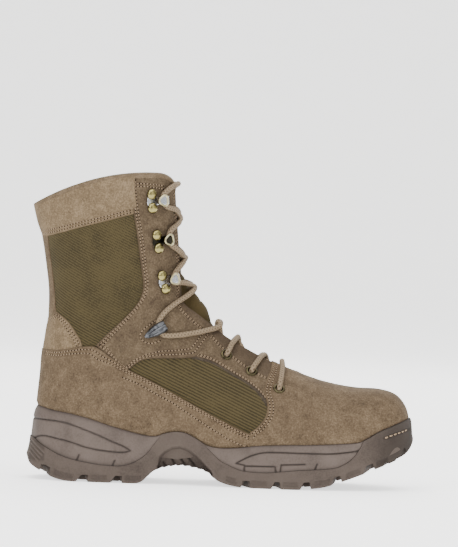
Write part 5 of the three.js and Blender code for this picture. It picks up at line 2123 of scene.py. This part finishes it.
@dataclass
class Midsole(Assembly):
    """Moulded foam midsole, shown at the heel and along the forefoot, with grooved leaves."""

    form: SoleForm
    rows: int = 40
    inset: float = 0.75
    groove_depth: float = 0.85
    groove_width: float = 0.62
    edge_round: float = 0.5  # mm that the foam turns in under the rim

    def build(self, wardrobe: Wardrobe) -> list[Piece]:
        """Makes the heel's and the forefoot's foam, each side in one."""
        pieces = []
        for name, line, grooves in (("midsole_heel", self.form.foam[0], HEEL_GROOVES),
                                    ("midsole_forefoot", self.form.foam[1], FORE_GROOVES)):
            shape = joined_shapes([self.band(side, line, grooves) for side in Side])
            node = "midsole" if name.endswith("heel") else ()
            pieces.append(make_piece(name, shape, wardrobe.midsole, node, "midsole_foam", 35))
        return pieces

    def band(self, side: Side, line: Array, grooves: Sequence) -> Shape:
        """Foam along one side: out to the rim's line above the outsole, in to the upper.

        Args:
            side: side of the boot.
            line: the foam's lower edge from the side.
            grooves: lines pressed into it.

        Returns:
            The closed shape.
        """
        form = self.form
        low = form.foam_share(side, line)
        keep = np.flatnonzero(low < 1)
        keep = np.arange(max(0, keep[0] - 1), min(form.stations, keep[-1] + 2))
        share = np.linspace(0, 1, self.rows)
        height = low[:, None] + (1 - low)[:, None] * share[None, :]
        points = form.side_point(side, height, np.full(height.shape, self.inset))
        groove = trough(points, grooves, self.groove_width)
        near_rim = 1 - np.minimum(1, (1 - share) * 12)
        rounding = self.edge_round * (1 - np.sqrt(np.clip(1 - near_rim**2, 0, 1)))
        inset = self.groove_depth * groove * soft_step((1 - share) * 14) + rounding
        points = points - form.out[side][:, None] * inset[..., None]
        inner = points[:, -1:] - form.out[side][:, None] * (form.rim_thick - self.inset)
        below = inner.copy()
        below[:, :, 2] = np.minimum(inner[..., 2], points[:, :1, 2] - 0.1)
        ends = form.side_point(side, low[:, None], np.full((form.stations, 1), form.rim_thick + 1))
        below[..., :2] = ends[..., :2]
        loop = np.concatenate([points, inner, below], axis=1)[keep]
        # Darker in the pressed grooves, from dust and painted shade, and along the foam's lower and upper
        # edges, painted shade where it meets the outsole and the upper.
        seam = 1.1 * np.exp(-share * 20) + 0.8 * np.exp(-(1 - share) * 26)
        tone = np.concatenate([1.3 * groove + seam, np.zeros((form.stations, 2))], axis=1)
        if keep[0] == 0:
            loop[0, :, 1] = 0
        shape = sheet_shape(loop, closed=True, tone=np.clip(tone[keep], 0, 1))
        return shape.facing(side)


# ---------------------------------------------------------------- tongue, collar and insole
@dataclass
class Tongue(Assembly):
    """Padded nylon tongue with a soft bound edge, stitched across in channels."""

    thick: float = 4.5
    under: TableCurve = field(default_factory=lambda: TableCurve(
        [8.1, 9.2, 12.6, 13.8, 15, 19, 27.35], [5.5, 7.6, 7.6, 5.0, 4.9, 4.9, 4.9]))
    crown: float = 4.4  # mm that the tongue bulges at the ankle
    toe: float = 8.1  # section where it begins
    top: float = 26.75  # section where it ends
    rows: tuple[tuple[float, float], ...] = (
        (8.1, 13), (9.5, 22), (11.5, 25), (14.5, 27), (18, 29), (22, 30),
        (26.75, 29))  # section and half-width
    channel_pitch: float = 1.45  # in sections
    channel_depth: float = 0.7

    def build(self, wardrobe: Wardrobe) -> list[Piece]:
        """Makes the tongue.

        Its faces lie either side of a sheet below the form; they meet at the sides and the ends
        in a high-power round, and sink a little along each channel.
        """
        keys, halves = zip(*self.rows)
        u = np.concatenate([np.linspace(self.toe, self.top - 0.3, 136),
                            np.linspace(self.top - 0.28, self.top, 12)])
        half = TableCurve(keys, halves)(u)
        s = np.sin(np.linspace(-1, 1, 53) * np.pi / 2)
        turns = np.linspace(0.4, 1, 260)
        spread = np.abs(FORM.point(u[:, None], turns[None, :])[..., 1])
        lateral = np.array([np.interp(-np.abs(s) * h, -row, turns) for h, row in zip(half, spread)])
        v = np.where(s[None, :] < 0, lateral, 2 - lateral)
        end = np.clip(np.minimum((u - self.toe) / 0.25, (self.top - u) / 0.2), 0, 1)
        plump = ((1 - np.abs(s) ** 8) ** 0.5)[None, :] * (1 - (1 - end[:, None]) ** 2) ** 0.5
        phase = (u[:, None] - 8.6) / self.channel_pitch
        channel = self.channel_depth * np.exp(-(((phase - np.round(phase)) / 0.06) ** 2))
        fall = 0.65 * soft_step((16.4 - u) / 1.5) + 0.35 * soft_step(18.7 - u)
        bulge = self.crown * soft_step((u - 12.5) / 1.3) * fall
        middle = (-self.under(u)[:, None] - self.thick / 2
                  + bulge[:, None] * np.clip(1 - (1.95 * s[None, :]) ** 2, 0, 1))
        top = FORM.offset(u[:, None], v, middle + (self.thick / 2 - channel) * plump, creased=False)
        low = FORM.offset(u[:, None], v, middle - self.thick / 2 * plump, creased=False)
        binding = np.clip((np.abs(s) - 0.93) / 0.03, 0, 1)[None, :] + np.zeros((len(u), 1))
        shape = closed_shell(top, low, 0.75 - 0.5 * binding)
        piece = make_piece("padded_tongue", shape, wardrobe.tongue, "tongue", "nylon")
        return [piece]


@dataclass
class CollarRoll(Assembly):
    """Rolled suede edge over the top of the wall, all the way round from throat to throat."""

    proud: float = 1.5
    inside: float = 15.0  # mm that the facing runs down inside
    half_wall: float = 2.35
    middle: float = -0.6  # mm from the form to the middle of the wall

    def build(self, wardrobe: Wardrobe) -> list[Piece]:
        """Sweeps the edge's profile round the collar: out and over in a half circle, then down."""
        front = float(FORM.throat_turn(np.array([26.9]), self.middle)[0])
        v = np.concatenate([np.linspace(front, 0, 110), np.linspace(2, 2 - front, 110)[1:]])
        u = np.full(v.shape, COLLAR)
        step = 0.05
        tall = np.linalg.norm(FORM.point(u, v) - FORM.point(u - step, v), axis=-1) / step
        u = collar_line(v) - self.proud / tall
        base, normal = FORM.point(u, v), FORM.normal(u, v)
        up = unit(FORM.point(u, v) - FORM.point(u - step, v))
        arc = np.linspace(0, np.pi, 9)
        over = np.stack([self.middle + self.half_wall * np.cos(arc), self.proud * np.sin(arc)],
                        axis=-1)
        profile = np.concatenate([
            [(0.5, -2.6), (1.35, -2.6), (1.65, -2.1), (1.8, -1.2)], over,
            [(-3.1, -4), (-3.0, -self.inside), (-2.3, -self.inside), (-2.2, -1), (-0.6, 0.6), (0.5, -1)]])
        shut = np.minimum(1, np.minimum(np.arange(len(v)), np.arange(len(v))[::-1]) / 3.0)
        shut = np.sqrt(1 - (1 - shut) ** 2)[:, None, None]
        middle = profile.mean(axis=0)
        flat = middle + (profile - middle) * np.maximum(shut, 0.02)
        points = (base[:, None] + flat[..., :1] * normal[:, None] + flat[..., 1:] * up[:, None])
        piece = make_piece("collar_roll", sheet_shape(points, closed=True), wardrobe.edge_suede,
                           "upper", "suede", 60)
        return [piece]


@dataclass
class Insole(Assembly):
    """Cloth-topped footbed, cupped a little at its edge."""

    thick: float = 4.6
    margin: float = 3.4  # mm inside the form's own foot
    cup: float = 1.2  # mm that its edge rises

    def build(self, wardrobe: Wardrobe) -> list[Piece]:
        """Makes the footbed over the sections' feet: flat across, raised by a power at the rim."""
        u = np.linspace(0.9, 18.7, 120)[:, None]
        s = np.linspace(-1, 1, 41)[None, :]
        section = FORM.section
        lateral = np.maximum(section["foot_lat"](u) - self.margin, 0.4)
        medial = np.maximum(section["foot_med"](u) - self.margin, 0.4)
        y = np.where(s < 0, s * lateral, s * medial)
        x = section["back_x"](u) + 0 * s
        z = section["back_z"](u) + 0.35 + 0 * s
        low = np.stack([x, y, z], axis=-1)
        top = np.stack([x, y * 0.99, z + self.thick + self.cup * np.abs(s) ** 6], axis=-1)
        piece = make_piece("footbed", closed_shell(top, low), wardrobe.footbed, "insole", "insole_cloth")
        return [piece]


# ---------------------------------------------------------------- metal pieces
@dataclass(frozen=True)
class SideFrame:
    """Axes of a metal piece on the upper: ahead along the surface, across it and out of it."""

    origin: Array
    ahead: Array
    across: Array
    out: Array

    @staticmethod
    def between(here: tuple[float, float], there: tuple[float, float], side: Side) -> "SideFrame":
        """Frame at one place seen from the side, with its first axis towards another.

        Args:
            here: x and z of the origin.
            there: x and z that the first axis points to.
            side: side of the boot.

        Returns:
            The frame.
        """
        u, v = FORM.locate(np.array([here, there], float))
        v = side.turn(v)
        points = FORM.point(u, v)
        ahead_by = unit(points[1] - points[0])
        out = FORM.normal(u, v).sum(axis=0)
        out = unit(out - ahead_by * (out @ ahead_by))
        return SideFrame(points[0], ahead_by, np.cross(out, ahead_by), out)

    def place(self, local: Array) -> Array:
        """Local points, with axes ahead, across and out, as points of the boot."""
        axes = np.stack([self.ahead, self.across, self.out])
        return self.origin + local @ axes


def lathe(profile: Sequence[tuple[float, float]], sides: int = 40) -> Array:
    """Turned grid: the profile's radius and height carried round the third axis.

    Args:
        profile: rows of radius and height.
        sides: how many points go round.

    Returns:
        Array (rows, sides, 3).
    """
    rows = np.asarray(profile, float)
    angle = np.linspace(0, 2 * np.pi, sides, endpoint=False)
    return np.stack([rows[:, :1] * np.cos(angle), rows[:, :1] * np.sin(angle),
                     rows[:, 1:] + 0 * angle], axis=-1)


@dataclass
class Eyelets(Assembly):
    """Three flanged brass eyelets on each side, set through the suede and the lining."""

    places: tuple[tuple[float, float], ...] = ((197, 76.5), (175, 89.5), (155, 101.5))
    hole: float = 3.35
    profile: tuple[tuple[float, float], ...] = (
        (2.62, -2.6), (3.1, -2.6), (3.15, 0.2), (4.3, 0.75), (4.62, 0.95), (4.68, 1.25), (4.45, 1.6),
        (3.9, 1.85), (3.3, 1.85), (2.85, 1.6), (2.62, 1.1))

    def build(self, wardrobe: Wardrobe) -> list[Piece]:
        """Makes the eyelets and cuts their holes."""
        pieces, cutters = [], []
        for side in Side:
            for number, (x, z) in enumerate(self.places, start=1):
                frame = SideFrame.between((x, z), (x + 0.5, z + 1), side)
                ring = frame.place(lathe(self.profile))
                ring = np.concatenate([ring, ring[:1]])
                name = f"{number}_{side.label}"
                pieces.append(make_piece("lace_eyelet_" + name, sheet_shape(ring, closed=True),
                                         wardrobe.dark_brass, "eyelet_" + name, "antique_brass", 50))
                hole = frame.place(lathe([(0, -6), (self.hole, -6), (self.hole, 5), (0, 5)], 32))
                cutters.append(sheet_shape(hole, closed=True))
        cutter = make_piece("eyelet_cutter", joined_shapes(cutters), wardrobe.brass)
        for name in ("lower_eyestay", "vamp", "upper_lining", "quarter"):
            self.cut(bpy.data.objects[name], cutter)
        bpy.data.objects.remove(cutter)
        return pieces

    def cut(self, piece: Piece, cutter: Piece) -> None:
        """Takes the cutter out of a piece, with its other modifiers settled first.

        Args:
            piece: the piece, changed in place.
            cutter: the holes' cylinders.
        """
        hole = piece.modifiers.new("eyelet_holes", "BOOLEAN")
        hole.operation = "DIFFERENCE"
        hole.solver = "EXACT"
        hole.object = cutter
        graph = bpy.context.evaluated_depsgraph_get()
        done = bpy.data.meshes.new_from_object(piece.evaluated_get(graph))
        piece.modifiers.clear()
        piece.data = done


@dataclass
class Hooks(Assembly):
    """Speed hooks: a steel plate under two domed rivets, bent over the lace into a ringed head."""

    rows: tuple[tuple[tuple[float, float], ...], ...] = (
        ((101.6, 162), (104.6, 151.5), (111.2, 160.5)), ((96.2, 193.5), (98.5, 183.2), (105.4, 190.7)),
        ((91.2, 225), (92.8, 214.4), (100, 220.6)))  # upper rivet, lower rivet, head
    foot: float = 1.3  # mm from the form to the plate
    steel: float = 0.9
    heel: float = 4.6  # how far the plate reaches behind the rivets
    neck: float = 10.5  # how far ahead it bends over
    bend: float = 2.35  # inner radius of the bend
    tip: float = 3.6  # where the head ends
    arm: float = 3.1  # half-width between the lobes and the head
    head: tuple[float, float, float] = (7.6, 4.05, 4.15)  # its middle, half-length, half-width
    ring_radius: float = 3.95
    rivet_radius: float = 4.3
    dome: float = 2.9

    def build(self, wardrobe: Wardrobe) -> list[Piece]:
        """Makes every hook, its ring and its rivets."""
        pieces = []
        for side in Side:
            for number, (upper, lower, head) in enumerate(self.rows, start=1):
                middle = ((upper[0] + lower[0]) / 2, (upper[1] + lower[1]) / 2)
                frame = SideFrame.between(middle, head, side)
                name = f"{number}_{side.label}"
                # Hooks 1 and 3 are pale and hook 2 dark: copies of one metal, with a painted reflection
                # on hooks 1 and 3.
                plate = wardrobe.steel if number == 2 else wardrobe.nickel
                pieces.append(make_piece("speed_hook_" + name, self.plate(frame), plate,
                                         "hook_" + name, "antique_brass", 50))
                # The head's ring is in a pale brass: a painted highlight on its rim.
                pieces.append(make_piece("hook_ring_" + name, self.ring(frame), wardrobe.pale_brass,
                                         (), "antique_brass", 60))
                apart = math.dist(upper, lower) / 2
                for end, hand in (("upper", -side.value), ("lower", side.value)):
                    node = f"rivet_{number}_{end}_{side.label}"
                    pieces.append(make_piece("domed_" + node, self.rivet(frame, hand * apart),
                                             wardrobe.brass, node, "antique_brass", 60))
        return pieces

    def plate(self, frame: SideFrame) -> Shape:
        """The bent plate: a ribbon along its own path, its width following the outline.

        Args:
            frame: the hook's frame.

        Returns:
            The shape.
        """
        centre = self.foot + self.steel / 2 + self.bend + self.steel / 2
        radius = self.bend + self.steel / 2
        x_low = np.linspace(-self.heel, self.neck, 44)
        arc = np.linspace(0, np.pi, 16)[1:-1]
        x_high = np.linspace(self.neck, self.tip, 22)
        x = np.concatenate([x_low, self.neck + radius * np.sin(arc), x_high])
        z = np.concatenate([np.full(44, centre - radius), centre - radius * np.cos(arc),
                            np.full(22, centre + radius)])
        lobes = self.arm + 5.4 * np.exp(-((x_low / 3.6) ** 4))
        lobes = lobes * np.sqrt(np.clip((x_low + self.heel) / 2.2, 0, 1))
        middle, half, wide = self.head
        head = wide * np.sqrt(np.clip(1 - (np.abs(x_high - middle) / half) ** 2.4, 0.0, 1))
        head = np.maximum(head, np.where(x_high > middle + 1, self.arm, 0.3))
        width = np.concatenate([lobes, np.full(len(arc), self.arm), head])
        dx, dz = np.gradient(x), np.gradient(z)
        norm = np.hypot(dx, dz)
        nx, nz = -dz / norm, dx / norm
        s = np.linspace(-1, 1, 11)[None, :]
        flat = np.stack([x[:, None] + 0 * s, width[:, None] * s, z[:, None] + 0 * s], axis=-1)
        out = np.stack([nx, 0 * nx, nz], axis=-1)[:, None] * (self.steel / 2)
        soft = (1 - 0.35 * np.abs(s) ** 8)[..., None]
        return closed_shell(frame.place(flat + out * soft), frame.place(flat - out * soft))

    def ring(self, frame: SideFrame) -> Shape:
        """Raised rim of the head: a round section carried along a soft triangle.

        Args:
            frame: the hook's frame.

        Returns:
            The shape.
        """
        top = self.foot + 2 * self.steel + 2 * self.bend
        angle = np.linspace(0, 2 * np.pi, 48, endpoint=False)
        reach = self.ring_radius + 0.4 * np.cos(3 * (angle - np.pi))
        section = np.linspace(0, 2 * np.pi, 10, endpoint=False)
        radius = reach[:, None] + 0.78 * np.cos(section)[None, :]
        local = np.stack([7.5 + radius * np.cos(angle)[:, None], radius * np.sin(angle)[:, None],
                          top + 0.05 + 0.75 * np.sin(section)[None, :] + 0 * radius], axis=-1)
        grid = frame.place(np.concatenate([local, local[:1]]))
        return sheet_shape(grid, closed=True)

    def rivet(self, frame: SideFrame, across: float) -> Shape:
        """A dome: a flattened quarter circle turned round its axis.

        Args:
            frame: the hook's frame.
            across: mm from the frame's origin, across the hook.

        Returns:
            The shape.
        """
        rise = np.linspace(0, np.pi / 2, 10)
        foot = self.foot + self.steel
        rim = [(0, foot - 0.2), (self.rivet_radius * 0.97, foot - 0.2)]
        dome = [(self.rivet_radius * math.cos(a), foot + 0.35 + self.dome * math.sin(a)) for a in rise]
        dome[-1] = (0, dome[-1][1])
        return sheet_shape(frame.place(lathe(rim + dome) + (0, across, 0)), closed=True)


@dataclass
class LaceLock(Assembly):
    """Folded steel leaf at each ankle; the lace passes across under its arch."""

    tail: tuple[float, float] = (91.0, 113.6)
    nose: tuple[float, float] = (107.2, 123.4)
    length: float = 19.0
    height: float = 6.6
    steel: float = 0.9

    def build(self, wardrobe: Wardrobe) -> list[Piece]:
        """Makes both leaves."""
        pieces = []
        for side in Side:
            name = "lace_lock_" + side.label
            frame = SideFrame.between(self.tail, self.nose, side)
            pieces.append(make_piece("folded_" + name, self.leaf(frame), wardrobe.lock,
                                     name, "lock_steel", 50))
        return pieces

    def leaf(self, frame: SideFrame) -> Shape:
        """The leaf: its height follows an arch along its length, with two ridges pressed in.

        Args:
            frame: the leaf's frame.

        Returns:
            The shape.
        """
        a = np.linspace(0, 1, 60)[:, None]
        s = np.linspace(-1, 1, 25)[None, :]
        # Half-width in mm, then height and reach as shares of the leaf's own, from tail to nose.
        width = TableCurve([0, 0.12, 0.4, 0.7, 0.9, 1], [0.7, 2.2, 4.1, 4.7, 4.2, 3.0])(a)
        tall = self.height * TableCurve([0, 0.18, 0.45, 0.7, 0.9, 0.97, 1],
                                        [0.3, 0.42, 0.96, 1.04, 0.86, 0.6, 0.3])(a)
        along = self.length * TableCurve([0, 0.5, 0.9, 0.97, 1], [0, 0.53, 0.95, 0.985, 0.99])(a)
        ridge = 0.6 * np.cos(s * np.pi * 2.9) * soft_step(a * 4)
        z = tall - 1.1 * s**2 * tall / self.height + ridge
        top = np.stack([along + 0 * s, width * s, z], axis=-1)
        low = np.stack([along * 0.985 + 0.1 + 0 * s, width * s * 0.93, z - self.steel], axis=-1)
        return closed_shell(frame.place(top), frame.place(low))


# ---------------------------------------------------------------- the lace
@dataclass
class Lacing(Assembly):
    """One round braided cord: over the toe end, crossing up the throat, round locks and hooks."""

    radius: float = 2.1  # with its braid; the cord is 4.2 mm thick
    over: float = 1.9  # how far a strand rises or dips where two cross
    sides: int = 12

    def build(self, wardrobe: Wardrobe) -> list[Piece]:
        """Makes the cord as one tube from one hidden end to the other."""
        lateral = self.strand(Side.LATERAL)
        medial = self.strand(Side.MEDIAL)
        path = np.concatenate([lateral[::-1], medial[1:]])
        line = smooth_line(path, 1350)
        nodes = ["lace_bar"] + [f"lace_cross_{k}" for k in range(1, 8)]
        piece = make_piece("lace", self.tube(line), wardrobe.lace, nodes, "lace_cord", 60)
        LOG.info("lace: %.0f mm long", run_length(line)[-1])
        return [piece]

    def strand(self, first: Side) -> Array:
        """Half of the cord, from the middle of the bar to its hidden end.

        Args:
            first: the side whose first eyelet it goes through.

        Returns:
            Its points in mm.
        """
        lift = self.over if first is Side.LATERAL else -self.over
        side_places = FORM.locate(np.array([(104.6, 115.6), (102.4, 119.8), (100.6, 124.4)]))
        low, middle, top = zip(*side_places)
        out_x, out_v = FORM.locate(np.array([(148, 122), (138.7, 119), (126, 116.6), (113.4, 114.9)]))
        back_x, back_v = FORM.locate(np.array([(104.3, 132.2), (112.5, 139.8), (120.8, 145.4)]))
        leaving = [(u, 2 - v, h) for u, v, h in zip(out_x, out_v, (2.6, 2.9, 2.9, 2.9))]
        coming = [(u, 2 - v, 3.0) for u, v in zip(back_x, back_v)]
        rise = lift - 0.7
        # Section, turn and height of the cord's middle: over the eyelets' bar, through each hole,
        # behind the tongue's edge and across, then round the lock and the hooks.
        route = [
            (9.5, 1, 1.6), (9.43, 0.83, 2.4), (9.38, 0.7, 3.3), (9.355, 0.635, 3.4),
            (9.35, 0.612, 1.0), (9.36, 0.615, -3.0), (9.5, 0.7, -5.0), (9.75, 0.84, -4.6),
            (10.0, 0.93, -4.8), (10.2, 1, -3.9 - lift), (10.35, 1.12, -0.4), (10.5, 1.24, 2.7),
            (10.62, 1.325, 3.4), (10.64, 1.338, 1.0), (10.65, 1.335, -3.0), (10.9, 1.27, -5.0),
            (11.2, 1.16, -4.8), (11.45, 1.08, -4.6), (11.6, 1, -3.9 + lift), (11.68, 0.88, -0.4),
            (11.8, 0.76, 2.9), (11.835, 0.69, 3.4), (11.84, 0.677, 1.0), (11.86, 0.68, -3.0),
            (12.1, 0.74, -5.0), (12.35, 0.84, -4.6), (12.5, 0.93, -4.4), (12.62, 1, -3.2 - lift),
            (12.8, 1.12, 0.8), *leaving,
            (low[0], 2 - low[1], 2.6), (middle[0], 2 - middle[1], 2.4), (top[0], 2 - top[1], 2.6),
            *coming, (15.75, 1.09, 1.9), (15.95, 1, rise),
            (16.4, 0.93, 1.0), (17.4, 0.875, 3.0), (18.5, 0.84, 4.2), (19.43, 0.798, 4.6),
            (20.1, 0.808, 4.5), (20.25, 0.865, 3.0), (20.3, 0.93, 1.2), (20.48, 1, rise - 2 * lift),
            (20.85, 1.07, 1.2), (21.5, 1.12, 3.2), (22.3, 1.175, 4.2), (23.1, 1.226, 4.6),
            (23.75, 1.213, 4.6), (24.0, 1.145, 3.2), (24.15, 1.07, 1.2), (24.4, 1, rise),
            (24.75, 0.93, 1.2), (25.1, 0.86, 3.6), (25.45, 0.777, 4.6), (26.0, 0.762, 4.6),
            (26.35, 0.82, 4.0), (26.5, 0.9, 2.2), (26.55, 1, rise - 2 * lift), (26.45, 1.06, -0.6),
            (26.3, 1.1, -2.4)]
        u, v, height = np.array(route).T
        return FORM.offset(u, first.turn(v), height, creased=False)

    def tube(self, line: Array) -> Shape:
        """Round tube along a line, its rings turned as little as can be from one to the next.

        Args:
            line: array (n, 3) in mm.

        Returns:
            The shape, with a UV map in metres along and round it.
        """
        ahead_by = unit(np.gradient(line, axis=0))
        aside = [unit(np.cross(ahead_by[0], (0, 0, 1.0)))]
        for way in ahead_by[1:]:
            last = aside[-1]
            aside.append(unit(last - way * (last @ way)))
        aside = np.array(aside)
        up = np.cross(aside, ahead_by)
        angle = np.linspace(0, 2 * np.pi, self.sides + 1)
        width = np.full(len(line), self.radius)
        width[[0, -1]] = 0.01
        ring = (np.cos(angle)[None, :, None] * aside[:, None]
                + np.sin(angle)[None, :, None] * up[:, None])
        points = line[:, None] + width[:, None, None] * ring
        run = run_length(line)
        uv = np.stack([np.repeat(run[:, None], len(angle), 1),
                       np.repeat(angle[None, :] * self.radius, len(line), 0)], axis=-1) / 1000
        return sheet_shape(points, uv=uv)


def main() -> None:
    """Builds the boot, sub-assembly by sub-assembly."""
    logging.basicConfig(level=logging.INFO, format="%(message)s")
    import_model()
    Studio().build()
    wardrobe = Wardrobe()
    sole = SoleForm()
    for assembly in (Lacing(), Upper(), Tongue(), CollarRoll(), Insole(), Outsole(sole),
                     Midsole(sole), Eyelets(), Hooks(), LaceLock()):
        for piece in assembly.build(wardrobe):
            LOG.info("%s: %d faces", piece.name, len(piece.data.polygons))


if __name__ == "__main__":
    main()
